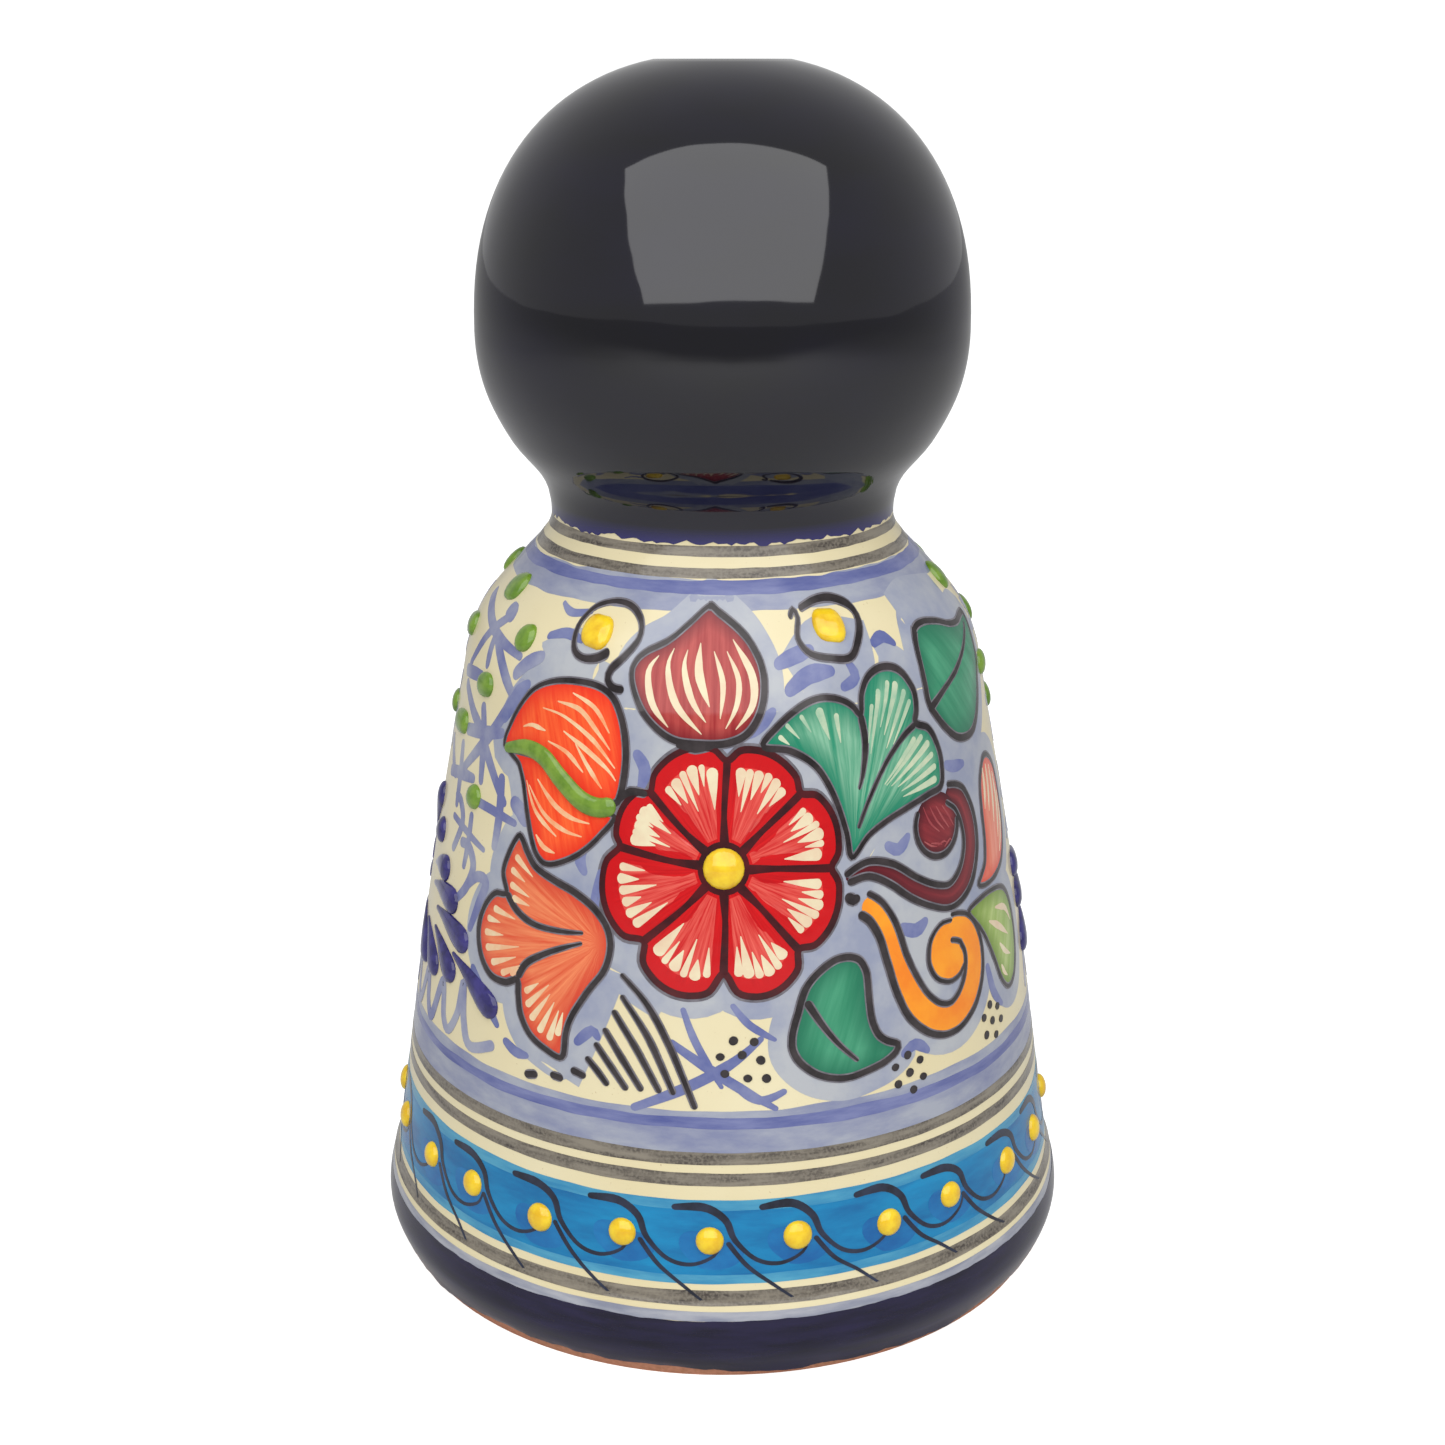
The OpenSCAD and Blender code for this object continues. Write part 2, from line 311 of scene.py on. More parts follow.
# Cream tin glaze: slightly uneven in tone, with faint iron specks and a soft orange-peel ripple
tin_glaze, nodes, links, shader, where = blank("cream_tin_glaze")
drift = grain(nodes, links, where, 22, 3)
specks = grain(nodes, links, where, 1500, 2)
cream = ramp(nodes, links, drift, (0.3, (0.64, 0.555, 0.335)), (0.7, (0.69, 0.62, 0.41)))
iron = ramp(nodes, links, specks, (0.70, (0, 0, 0)), (0.78, (1, 1, 1)))
cream = blend_colours(nodes, links, iron, cream, (0.50, 0.40, 0.24))
links.new(cream, shader.inputs["Base Color"])
glossy(shader, 0.17)
orange_peel(nodes, links, shader, where, 0.12)

# Cobalt glaze: near-black where it is thick, violet where it thins, with a rippled wet surface
cobalt, nodes, links, shader, where = blank("cobalt_glaze")
pool = grain(nodes, links, where, 14, 3, (1, 1, 2.5))
deep = ramp(nodes, links, pool, (0.35, (0.0012, 0.001, 0.0035)), (0.75, (0.0035, 0.0025, 0.014)))
height = nodes.new("ShaderNodeSeparateXYZ")
links.new(where, height.inputs["Vector"])
thin = nodes.new("ShaderNodeMapRange")
thin.inputs["From Min"].default_value = 0.1970
thin.inputs["From Max"].default_value = 0.1935
links.new(height.outputs["Z"], thin.inputs["Value"])
deep = blend_colours(nodes, links, thin.outputs["Result"], deep, (0.012, 0.010, 0.095))
links.new(deep, shader.inputs["Base Color"])
glossy(shader, 0.05, ior=1.58)
ripple(nodes, links, shader, grain(nodes, links, where, 30, 2, (1, 1, 1.6)), 0.10, 0.002)

# The foot's brushed cobalt is a little thinner, so more navy shows
foot_cobalt, nodes, links, shader, where = blank("foot_cobalt_glaze")
strokes = grain(nodes, links, where, 60, 4, (1, 1, 7))
navy = ramp(nodes, links, strokes, (0.3, (0.005, 0.004, 0.016)), (0.7, (0.013, 0.010, 0.042)))
links.new(navy, shader.inputs["Base Color"])
glossy(shader, 0.1)
ripple(nodes, links, shader, strokes, 0.15, 0.0003)

honey, nodes, links, shader, where = blank("honey_liner_glaze")
poured = grain(nodes, links, where, 25, 4, (1, 1, 0.3))
links.new(ramp(nodes, links, poured, (0.3, (0.52, 0.36, 0.19)), (0.7, (0.70, 0.56, 0.36))),
          shader.inputs["Base Color"])
glossy(shader, 0.15)
ripple(nodes, links, shader, poured, 0.2, 0.001)

# Heights of the coats' edges, how far the cobalt lies over the cream, how far the cream is tucked
# under the foot's coat, and how deep a coat's hidden side lies
FOOT_EDGE, FOOT_LINE, NECK_LINE = 2.6, 17.2, 193.4
LIFTED, TUCK, BACK = 0.12, 0.6, COAT - 0.05


def coat_back(low, high, step):
    """The hidden side of a coat, just short of the clay, from its top down."""
    return [skin(z, -BACK) for z in reversed(spaced(low, high, step))]


turned("cream_coat",
       [skin(z, 0) for z in spaced(FOOT_LINE - TUCK, NECK_LINE + 2, 1.5)]
       + coat_back(FOOT_LINE - TUCK, NECK_LINE + 2, 5),
       tin_glaze, "cream_glaze", "cream_glaze")

foot_coat = turned("cobalt_foot_coat",
                   [skin(z, LIFTED) for z in spaced(FOOT_EDGE, FOOT_LINE, 1.0)]
                   + coat_back(FOOT_EDGE, FOOT_LINE, 3),
                   foot_cobalt, "cobalt_glaze", "cobalt_foot_glaze")


def lip(outer, inner):
    """The rolled lip between the last points of two domes."""
    (r, top), (_, under) = outer[-1], inner[-1]
    half = (top - under) / 2
    turns = [math.radians(90 + 180 * k / LIP_STEPS) for k in range(1, LIP_STEPS)]
    return [(r + half * math.cos(a), (top + under) / 2 + half * math.sin(a)) for a in turns]


dome_out, dome_in = dome_points(0), dome_points(-COAT - WALL)
rim_out, rim_in = dome_points(-BACK), dome_points(-WALL)
bulb_coat = turned("cobalt_bulb_coat",
                   [skin(z, LIFTED) for z in spaced(NECK_LINE, NECK_LINE + 3, 0.75)]
                   + [skin(z, 0) for z in spaced(NECK_LINE + 6, BULB_Z, 2)]
                   + dome_out + lip(dome_out, dome_in) + [dome_in[-1], rim_in[-1]]
                   + list(reversed(lip(rim_out, rim_in))) + list(reversed(rim_out))
                   + coat_back(NECK_LINE, BULB_Z, 4),
                   cobalt, "cobalt_glaze", "cobalt_bulb_glaze")


def ragged(piece, edge, reach, swing, fine, seed):
    """The edge of a coat at a height wanders up and down, less and less up to reach away."""
    for v in piece.data.vertices:
        z = v.co.z / MM
        near = 1 - abs(z - edge) / reach
        if near > 0:
            angle = math.atan2(v.co.y, v.co.x)
            spot = Vector((math.cos(angle), math.sin(angle), seed))
            v.co.z += near * MM * (swing * noise.noise(spot * 3) + fine * noise.noise(spot * 24))


ragged(bulb_coat, NECK_LINE, 2.5, 0.5, 1.1, 3.1)
ragged(foot_coat, FOOT_LINE, 2.0, 0.5, 0.3, 7.7)
ragged(foot_coat, FOOT_EDGE, 2.0, 1.2, 0.6, 5.3)

# The liner runs down from inside the lip to the rounded floor
FLOOR_Z, FILLET = 7.0, 10.0


def lining(depth, base):
    """The inside at a depth, from under the lip down to the middle of the floor."""
    corner = base + FILLET
    wall_r = skin(corner, -depth)[0]
    arc = [(wall_r - FILLET + FILLET * math.cos(math.radians(a)),
            corner - FILLET * math.sin(math.radians(a))) for a in range(0, 91, 15)]
    walls = [skin(z, -depth) for z in reversed(spaced(corner, BULB_Z, 3))]
    return list(reversed(dome_points(-depth))) + walls + arc[1:] + [(0.0, base)]


liner = lining(WALL + COAT, FLOOR_Z + COAT)
turned("honey_liner", liner + list(reversed(lining(WALL + 0.03, FLOOR_Z + 0.03))),
       honey, "liner_glaze", "inner_glaze", rings=128)


# ---------------------------------------------------------------------------------------------
# The banding. With the pot turning on a wheel, a loaded brush lays rings of pale blue wash,
# granular brown lines, a turquoise band and a grey-blue line over the raw cream glaze.
def ring(name, low, high, lift, material, wobble, seed):
    """One brushed ring between two heights, whose edges wander a little."""
    rows = spaced(low, high, 1.5)
    piece = turned(name, [skin(z, lift) for z in rows] + [skin(high, -0.2), skin(low, -0.2)],
                   material, "cream_glaze")
    middle, half = (low + high) / 2, (high - low) / 2
    for v in piece.data.vertices:
        angle = math.atan2(v.co.y, v.co.x)
        share = (v.co.z / MM - middle) / half
        side = 11.0 if share > 0 else 29.0
        edge = Vector((math.cos(angle), math.sin(angle), seed + side))
        shift = wobble * (noise.noise(edge * 1.3) + 0.5 * noise.noise(edge * 9)) * abs(share)
        z = v.co.z / MM
        out = math.hypot(v.co.x, v.co.y) / MM - radius(z)
        reach = (radius(z + shift) + out) * MM
        v.co = (reach * math.cos(angle), reach * math.sin(angle), (z + shift) * MM)


def brushed(name, thin, thick, scale, stretch=(1, 1, 1), low=0.35, high=0.65, rough=0.12,
            speckle=0.0):
    """Colour laid with a brush under clear glaze: thin and thick tones drawn out along stretch."""
    made, nodes, links, shader, where = blank(name)
    load = grain(nodes, links, where, scale, 5, stretch, 0.6)
    tone = ramp(nodes, links, load, (low, thick), (high, thin))
    if speckle:
        dust = grain(nodes, links, where, 1400, 2)
        dust = ramp(nodes, links, dust, (0.42, (0, 0, 0)), (0.62, (speckle, speckle, speckle)))
        tone = blend_colours(nodes, links, dust, tone, thin)
    links.new(tone, shader.inputs["Base Color"])
    glossy(shader, rough)
    orange_peel(nodes, links, shader, where, 0.1)
    return made


wash = brushed("pale_blue_wash", (0.32, 0.34, 0.40), (0.19, 0.21, 0.33), 55, (1, 1, 3))
wash_line = brushed("violet_wash_line", (0.17, 0.19, 0.36), (0.072, 0.088, 0.26), 50, (1, 1, 6))
brown = brushed("brown_line", (0.22, 0.195, 0.155), (0.050, 0.041, 0.036), 70, (1, 1, 9),
                speckle=0.6)
turquoise = brushed("turquoise_band", (0.004, 0.215, 0.44), (0.002, 0.115, 0.30), 40, (1, 1, 4))
cyan_edge = brushed("cyan_edge", (0.07, 0.30, 0.45), (0.025, 0.20, 0.38), 60, (1, 1, 6))
grey_blue = brushed("grey_blue_line", (0.36, 0.37, 0.41), (0.21, 0.225, 0.29), 60, (1, 1, 6))

# (name, low, high, lift, colour, wobble)
RINGS = [
    ("neck_brown_ring", 190.4, 192.8, 0.06, brown, 0.25),
    ("shoulder_brown_ring", 186.0, 188.2, 0.06, brown, 0.25),
    ("shoulder_wash_ring", 179.5, 185.6, 0.04, wash, 0.9),
    ("shoulder_wash_line", 183.2, 185.4, 0.07, wash_line, 0.6),
    ("lower_wash_ring", 57.0, 68.0, 0.04, wash, 0.8),
    ("lower_wash_line", 63.2, 65.8, 0.07, wash_line, 0.7),
    ("upper_brown_ring", 54.8, 57.6, 0.08, brown, 0.3),
    ("middle_brown_ring", 49.6, 52.6, 0.06, brown, 0.25),
    ("turquoise_band", 26.2, 46.0, 0.05, turquoise, 0.25),
    ("upper_cyan_edge", 43.9, 46.4, 0.07, cyan_edge, 0.5),
    ("lower_cyan_edge", 25.9, 28.0, 0.07, cyan_edge, 0.5),
    ("foot_brown_ring", 20.8, 24.0, 0.06, brown, 0.3),
    ("foot_grey_ring", 17.0, 19.4, 0.06, grey_blue, 0.3),
]
for count, (name, low, high, lift, colour, wobble) in enumerate(RINGS):
    ring(name, low, high, lift, colour, wobble, count * 4.7)


# ---------------------------------------------------------------------------------------------
# The watercolour halo. Before the flowers are filled, a wide brush of pale blue is pulled round
# each of them, and a few stronger blue strokes cross the open ground. Places on the wall are
# given as (arc, height) in mm, where the arc runs to the right from the middle of the face.
TURN_R = 75
FACES = (0.0, math.pi)

# How far each layer of colour stands off the glaze in mm, in the order they are laid: the wash,
# strokes of blue, filled shapes, shapes over those, scratches and outlines. ROOT is how deep the
# hidden underside of a layer lies.
WASH, BLUE, FILL, OVER, SCRATCH, OUTLINE_LIFT = 0.05, 0.075, 0.13, 0.142, 0.17, 0.19
ROOT = -0.25


def on_wall(place, lift=0.0, turn=0.0):
    """A place on the glazed wall as a point in space, in metres."""
    angle = place[0] / TURN_R + turn
    r, z = skin(place[1], lift)
    return Vector((r * MM * math.sin(angle), -r * MM * math.cos(angle), z * MM))


def smooth(points, closed=False, step=1.0):
    """A smooth curve through places, with points about a step apart."""
    points = [Vector(p) for p in points]
    count = len(points)
    curve = []
    spans = count if closed else count - 1
    for i in range(spans):
        if closed:
            a, b, c, d = (points[(i + k) % count] for k in (-1, 0, 1, 2))
        else:
            a, b, c, d = (points[min(max(i + k, 0), count - 1)] for k in (-1, 0, 1, 2))
        pieces = max(1, math.ceil((c - b).length / step))
        curve += [between(a, b, c, d, k / pieces) for k in range(pieces)]
    if not closed:
        curve.append(points[-1])
    return curve


def width_at(widths, share):
    """The width of a stroke at a share of its length."""
    t = share * (len(widths) - 1)
    k = min(int(t), len(widths) - 2)
    return widths[k] + (widths[k + 1] - widths[k]) * (t - k)


class Layer:
    """One colour laid on the wall: sheets and strokes gathered into a single thin closed piece."""

    def __init__(self, turns=FACES):
        self.turns = turns
        self.points, self.faces, self.rims, self.grains, self.smooth_faces = [], [], [], [], []

    def sheet(self, shapes, lift, flow=None, cell=2.1):
        """Closed shapes laid as one sheet. flow gives a place its (across, along) in mm."""
        corners, loops = [], []
        for shape in shapes:
            loops.append(list(range(len(corners), len(corners) + len(shape))))
            corners += shape
        edge = kdtree.KDTree(len(corners))
        for i, p in enumerate(corners):
            edge.insert((p.x, p.y, 0), i)
        edge.balance()
        low_u, high_u = min(p.x for p in corners), max(p.x for p in corners)
        low_z, high_z = min(p.y for p in corners), max(p.y for p in corners)
        inside = []
        for row in range(int((high_z - low_z) / cell) + 1):
            for column in range(int((high_u - low_u) / cell) + 1):
                p = Vector((low_u + (column + 0.5 * (row % 2)) * cell, low_z + row * cell))
                if edge.find((p.x, p.y, 0))[2] > 0.4 * cell:
                    inside.append(p)
        found, _, faces, *_ = delaunay_2d_cdt(corners + inside, [], loops, 1, 1e-5)
        sides = {}
        for face in faces:
            for a, b in zip(face, face[1:] + face[:1]):
                sides[(a, b)] = sides.get((a, b), 0) + 1
        border = [(a, b) for a, b in sides if (b, a) not in sides]
        rim = kdtree.KDTree(len(border))
        for i, (a, _) in enumerate(border):
            rim.insert((found[a].x, found[a].y, 0), i)
        rim.balance()
        depth = [rim.find((p.x, p.y, 0))[2] for p in found]
        along = [flow(p) if flow else (p.x, p.y) for p in found]
        for turn in self.turns:
            start, size = len(self.points), len(found)
            self.points += [on_wall(p, lift, turn) for p in found]
            self.points += [on_wall(p, ROOT, turn) for p in found]
            self.rims += depth * 2
            self.grains += along * 2
            self.faces += [[start + i for i in face] for face in faces]
            self.smooth_faces += [True] * len(faces)
            self.faces += [[start + size + i for i in reversed(face)] for face in faces]
            self.faces += [[start + b, start + a, start + size + a, start + size + b]
                           for a, b in border]
            self.smooth_faces += [False] * (len(faces) + len(border))

    def stroke(self, places, widths, lift, dome=0.0, closed=False):
        """A brush stroke through places whose width follows widths; dome raises its middle."""
        path = smooth(places, closed, 1.2)
        if closed:
            path.append(path[0])
        run = [0.0]
        for a, b in zip(path, path[1:]):
            run.append(run[-1] + (b - a).length)
        total = run[-1]
        columns = 9 if dome else 3 if max(widths) < 3 else 5
        stations = list(zip(run, path))
        if not closed:
            for share in (0.02, 0.08, 0.2, 0.45):
                near = share * max(widths)
                for at in (near, total - near):
                    k = min(max(bisect.bisect(run, at), 1), len(run) - 1)
                    t = (at - run[k - 1]) / max(run[k] - run[k - 1], 1e-6)
                    stations.append((at, path[k - 1].lerp(path[k], t)))
        stations.sort(key=lambda s: s[0])
        ribs = []
        for i, (at, place) in enumerate(stations):
            before = stations[max(i - 1, 0)][1]
            after = stations[min(i + 1, len(stations) - 1)][1]
            if closed and i in (0, len(stations) - 1):
                before, after = stations[-2][1], stations[1][1]
            heading = after - before
            if heading.length < 1e-6:
                continue
            heading.normalize()
            side = Vector((-heading.y, heading.x))
            width = width_at(widths, at / total)
            if not closed:
                reach = min(at, total - at)
                cap = min(1.0, reach / (width / 2 + 1e-6))
                width *= math.sqrt(max(1 - (1 - cap) ** 2, 0.004))
            ribs.append((place, side, width, at))
        for turn in self.turns:
            start = len(self.points)
            for place, side, width, at in ribs:
                for c in range(columns):
                    across = 1 - 2 * c / (columns - 1)
                    if dome:
                        across = math.sin(across * math.pi / 2)
                    rise = dome * math.sqrt(max(1 - across * across, 0)) * width / max(widths)
                    self.points.append(on_wall(place + side * across * width / 2,
                                               lift + rise, turn))
                    self.rims.append((1 - abs(across)) * width / 2)
                    self.grains.append((across * width / 2, at))
                for across in (1, -1):
                    self.points.append(on_wall(place + side * across * width / 2, ROOT, turn))
                    self.rims.append(0)
                    self.grains.append((across * width / 2, at))
            wide = columns + 2
            for i in range(len(ribs) - 1):
                a, b = start + i * wide, start + (i + 1) * wide
                for c in range(columns - 1):
                    self.faces.append([a + c, a + c + 1, b + c + 1, b + c])
                    self.smooth_faces.append(True)
                self.faces.append([a + columns - 1, a + columns + 1, b + columns + 1,
                                   b + columns - 1])
                self.faces.append([a + columns + 1, a + columns, b + columns, b + columns + 1])
                self.faces.append([a + columns, a, b, b + columns])
                self.smooth_faces += [bool(dome), False, bool(dome)]
            if not closed:
                first = [start + c for c in range(columns)] + [start + columns + 1, start + columns]
                last = [i + (len(ribs) - 1) * wide for i in first]
                self.faces += [list(reversed(first)), last]
                self.smooth_faces += [False, False]

    def dot(self, place, width, lift, height):
        """A round raised dab."""
        reach = width / 2
        stretch = TURN_R / radius(place[1])
        rows, spokes = 5, 20
        for turn in self.turns:
            start = len(self.points)
            self.points.append(on_wall(place, lift + height, turn))
            for k in range(1, rows + 1):
                tilt = k / rows * math.pi / 2
                for s in range(spokes):
                    angle = math.tau * s / spokes
                    r = reach * math.sin(tilt)
                    spot = (place[0] + r * math.cos(angle) * stretch, place[1] + r * math.sin(angle))
                    self.points.append(on_wall(spot, lift + height * math.cos(tilt), turn))
            for s in range(spokes):
                angle = math.tau * s / spokes
                spot = (place[0] + reach * math.cos(angle) * stretch,
                        place[1] + reach * math.sin(angle))
                self.points.append(on_wall(spot, -0.3, turn))
            self.points.append(on_wall(place, -0.3, turn))
            total = 2 + spokes * (rows + 1)
            self.rims += [reach] * total
            self.grains += [tuple(place)] * total
            for s in range(spokes):
                t = (s + 1) % spokes
                self.faces.append([start, start + 1 + s, start + 1 + t])
                self.smooth_faces.append(True)
                for k in range(rows):
                    a, b = start + 1 + k * spokes, start + 1 + (k + 1) * spokes
                    self.faces.append([a + s, b + s, b + t, a + t])
                    self.smooth_faces.append(True)
                under = start + 1 + rows * spokes
                self.faces.append([start + total - 1, under + t, under + s])
                self.smooth_faces.append(False)

    def lay(self, name, material, slot="cream_glaze", *nodes):
        """The gathered layer becomes one piece of the vase."""
        data = bpy.data.meshes.new(name)
        data.from_pydata(self.points, [], self.faces)
        data.polygons.foreach_set("use_smooth", self.smooth_faces)
        rim = data.attributes.new("rim", "FLOAT", "POINT")
        rim.data.foreach_set("value", self.rims)
        flow = data.uv_layers.new(name="flow")
        corners = [0.0] * (2 * len(data.loops))
        for i, loop in enumerate(data.loops):
            corners[2 * i:2 * i + 2] = self.grains[loop.vertex_index]
        flow.data.foreach_set("uv", [c * 0.01 for c in corners])
        closed_up(opened(name, data), 40, material, nodes)


def grown(shape, by):
    """A closed outline pushed outwards."""
    count = len(shape)
    area = sum(shape[i].cross(shape[(i + 1) % count]) for i in range(count))
    way = 1 if area > 0 else -1
    made = []
    for i in range(count):
        heading = (shape[(i + 1) % count] - shape[i - 1]).normalized()
        made.append(shape[i] + Vector((heading.y, -heading.x)) * by * way)
    return made


def heading_at(path, i):
    """The direction of a path at its point i."""
    return (path[min(i + 1, len(path) - 1)] - path[max(i - 1, 0)]).normalized()


def swath(places, width):
    """The outline of a stroke of even width, as a closed shape."""
    path = smooth(places, step=1.5)
    left, right = [], []
    for i, p in enumerate(path):
        heading = heading_at(path, i)
        side = Vector((-heading.y, heading.x)) * width / 2
        left.append(p + side)
        right.append(p - side)
    return right + list(reversed(left))


# The red flower: eight petals round a heart, each between two valleys given as (angle, radius)
HEART = Vector((0.3, 124.2))
VALLEYS = [(88, 24.5), (40, 25.5), (-3, 26.5), (-48, 26), (-90, 24), (-137, 25.5), (172, 26),
           (138, 25)]
PEAKS = [28.3, 29.6, 29.5, 31.0, 31.0, 30.5, 28.5, 28.5]


def petal_edge(index, share):
    """Angle in degrees and radius of a petal's edge at a share of the way between valleys."""
    a, b = VALLEYS[(index + 1) % 8], VALLEYS[index]
    span = (b[0] - a[0]) % 360
    base = a[1] + (b[1] - a[1]) * share
    bulge = math.sin(math.pi * share) ** 0.55
    return a[0] + span * share, base + (PEAKS[index] - base) * bulge


def from_heart(angle, r):
    """A place at an angle and radius from the flower's heart."""
    return HEART + Vector((math.cos(math.radians(angle)), math.sin(math.radians(angle)))) * r


flower = [from_heart(*petal_edge(i, k / 14)) for i in reversed(range(8)) for k in range(14)]

rose_bud = smooth([(-4.5, 180.8), (-10.1, 177.6), (-16.1, 174), (-22.6, 171.3), (-25.4, 168),
                   (-24, 163), (-19.8, 157.4), (-13.3, 153.2), (-5.9, 152.3), (1.5, 152.6),
                   (7, 155.1), (10.7, 161.1), (11.2, 168.2), (8.4, 173.6), (4.3, 176.9),
                   (-1.3, 179.7)], True)
orange_upper = smooth([(-65.5, 144.8), (-63.7, 150.7), (-60, 156.2), (-55.3, 160.4), (-48.9, 162.8),
                       (-41.4, 163.7), (-34, 163.2), (-29.2, 160.6), (-26.4, 155.3),
                       (-25.2, 148.8), (-25.6, 142.3), (-27.4, 137.4), (-35, 137.5), (-42, 141.5),
                       (-50, 145), (-58, 145.5)], True)
orange_lower = smooth([(-63.5, 144), (-59.4, 142.4), (-56.3, 138.2), (-53.9, 132.1), (-51.6, 126.6),
                       (-48.9, 122.2), (-45.6, 120.6), (-40.5, 122.2), (-35, 125.6),
                       (-30.3, 130.3), (-27.4, 134.6), (-34, 136), (-42, 140.5), (-50, 144.5)], True)
trumpet = smooth([(-55.2, 125.4), (-58.1, 121), (-59.6, 115.5), (-57.6, 110.9), (-61.8, 109.7),
                  (-65.3, 105.3), (-66.6, 99.7), (-64.6, 93.7), (-60, 89.9), (-54.4, 89.9),
                  (-51.2, 91.6), (-50.6, 88.6), (-49.3, 83.6), (-46.1, 79.4), (-41.4, 77),
                  (-37, 76.2), (-36.4, 82.1), (-35, 86.8), (-31.3, 93.3), (-27.6, 98.8),
                  (-26.4, 104.4), (-27.6, 109), (-31.3, 112.9), (-36.8, 115.7), (-43.3, 117.5),
                  (-48.9, 119.4), (-52.6, 122.9)], True)
fan_leaf = smooth([(32.4, 124.4), (31.4, 130), (29.6, 136.5), (27.2, 142), (23.6, 146.8),
                   (17.5, 150.3), (10.4, 151.7), (14.4, 156), (19.9, 159.6), (25.5, 161.4),
                   (31, 161), (35.4, 159.1), (38, 156.6), (38.8, 160.7), (41.4, 164.3),
                   (45.8, 166), (50.5, 165.7), (54.2, 163.7), (57, 159.5), (57.3, 154.9),
                   (56.4, 151.9), (61.2, 149.7), (63.9, 145.6), (64.9, 141), (63.6, 135.6),
                   (57.9, 134.5), (50.5, 133.1), (43.1, 131.2), (37.3, 128.6)], True)
heart_leaf = smooth([(65.1, 171.8), (62.6, 167.9), (62.1, 161.4), (62.5, 156), (65.3, 151.8),
                     (69.9, 147.4), (74.5, 144.6), (80.1, 143.6), (84.7, 144.2), (89.4, 147),
                     (94, 151.7), (97.7, 157.7), (100.7, 164.2), (102, 169.4), (96.8, 169.9),
                     (91.2, 169.4), (84.7, 170), (78.2, 171.7), (70.8, 172.7)], True)
low_leaf = smooth([(19, 95.6), (22.7, 99.4), (27.3, 101.6), (31.9, 100.9), (34, 97.5),
                   (34.3, 91.9), (34.8, 85.5), (37, 80.8), (41.4, 78), (38.4, 75.4),
                   (33.8, 74), (27.3, 73.1), (20.8, 75.1), (16.2, 79.7), (15.5, 84.5),
                   (17, 90)], True)
coral_petal = smooth([(74.6, 108), (79.2, 111.6), (81.3, 116.9), (82.2, 124.4), (83.6, 130.8),
                      (87.3, 135.1), (91.2, 136.1), (95.8, 133.8), (98.8, 129.9), (99.4, 122.5),
                      (97.4, 115.1), (92.3, 109.3), (85.6, 107), (79.2, 106.7)], True)
lime_petal = smooth([(68.6, 103.3), (76.4, 104.6), (84.7, 103.9), (90.5, 101.4), (93.8, 96.6),
                     (94.7, 90.1), (93.2, 83.6), (89.5, 78.8), (84.7, 77.9), (80.8, 81.6),
                     (77.9, 88.2), (74.2, 95.5), (70.6, 100.1)], True)


def disc(centre, across, up):
    """A round outline."""
    return [Vector((centre[0] + across * math.cos(a), centre[1] + up * math.sin(a)))
            for a in (math.tau * k / 40 for k in range(40))]


# Scrolls are (places, widths) of one pull of the brush, that ends against a round bud
WINE_SCROLL = ([(30.4, 119.6), (36.6, 121.1), (43.1, 118.8), (49.5, 114.2), (56, 110.7),
                (62.5, 109.1), (69, 111.9), (73.1, 117.9), (73.6, 124.4), (70.8, 130.4),
                (65.2, 133.2)],
               [1.8, 3.4, 4.6, 5.0, 5.2, 5.8, 6.6, 6.8, 7.0, 6.4, 4.0])
ORANGE_SCROLL = ([(34.4, 113.4), (37.7, 111), (40.7, 105.8), (42.7, 98.4), (44.9, 91.9),
                  (48.1, 85.7), (53.2, 81.2), (58.8, 80.1), (64.3, 82.9), (67.9, 88.2),
                  (68.6, 94.7), (65.6, 100), (60.6, 101.6)],
                 [5.2, 5.4, 5.4, 5.6, 6.6, 7.4, 7.4, 7.4, 7.8, 7.8, 7.4, 7.2, 6.0])
wine_bud = disc((60.3, 126.9), 8.2, 7.6)
orange_bud_end = disc((59.2, 96.2), 7.2, 7.4)

# Pulls of the wide brush that join the halos, as (places, width)
WASH_PULLS = [(WINE_SCROLL[0], 15), (ORANGE_SCROLL[0], 17), ([(-33, 112), (-22, 100), (-12, 94)], 12),
              ([(-56, 166), (-46, 170), (-36, 168)], 9), ([(36, 122), (60, 102), (80, 106)], 14),
              ([(20, 166), (30, 172), (46, 170)], 12), ([(-28, 100), (-32, 88), (-38, 72)], 12),
              ([(62, 176), (74, 178), (96, 176)], 8)]
halo = Layer()
halo.sheet([grown(shape, 5.4) for shape in (flower, rose_bud, orange_upper, orange_lower, trumpet,
                                            fan_leaf, heart_leaf, low_leaf, coral_petal, lime_petal)]
           + [grown(wine_bud, 5.5)] + [swath(*pull) for pull in WASH_PULLS], WASH)
halo.lay("flower_halo", brushed("halo_wash", (0.39, 0.405, 0.43), (0.25, 0.275, 0.37), 42,
                                low=0.36, high=0.62))

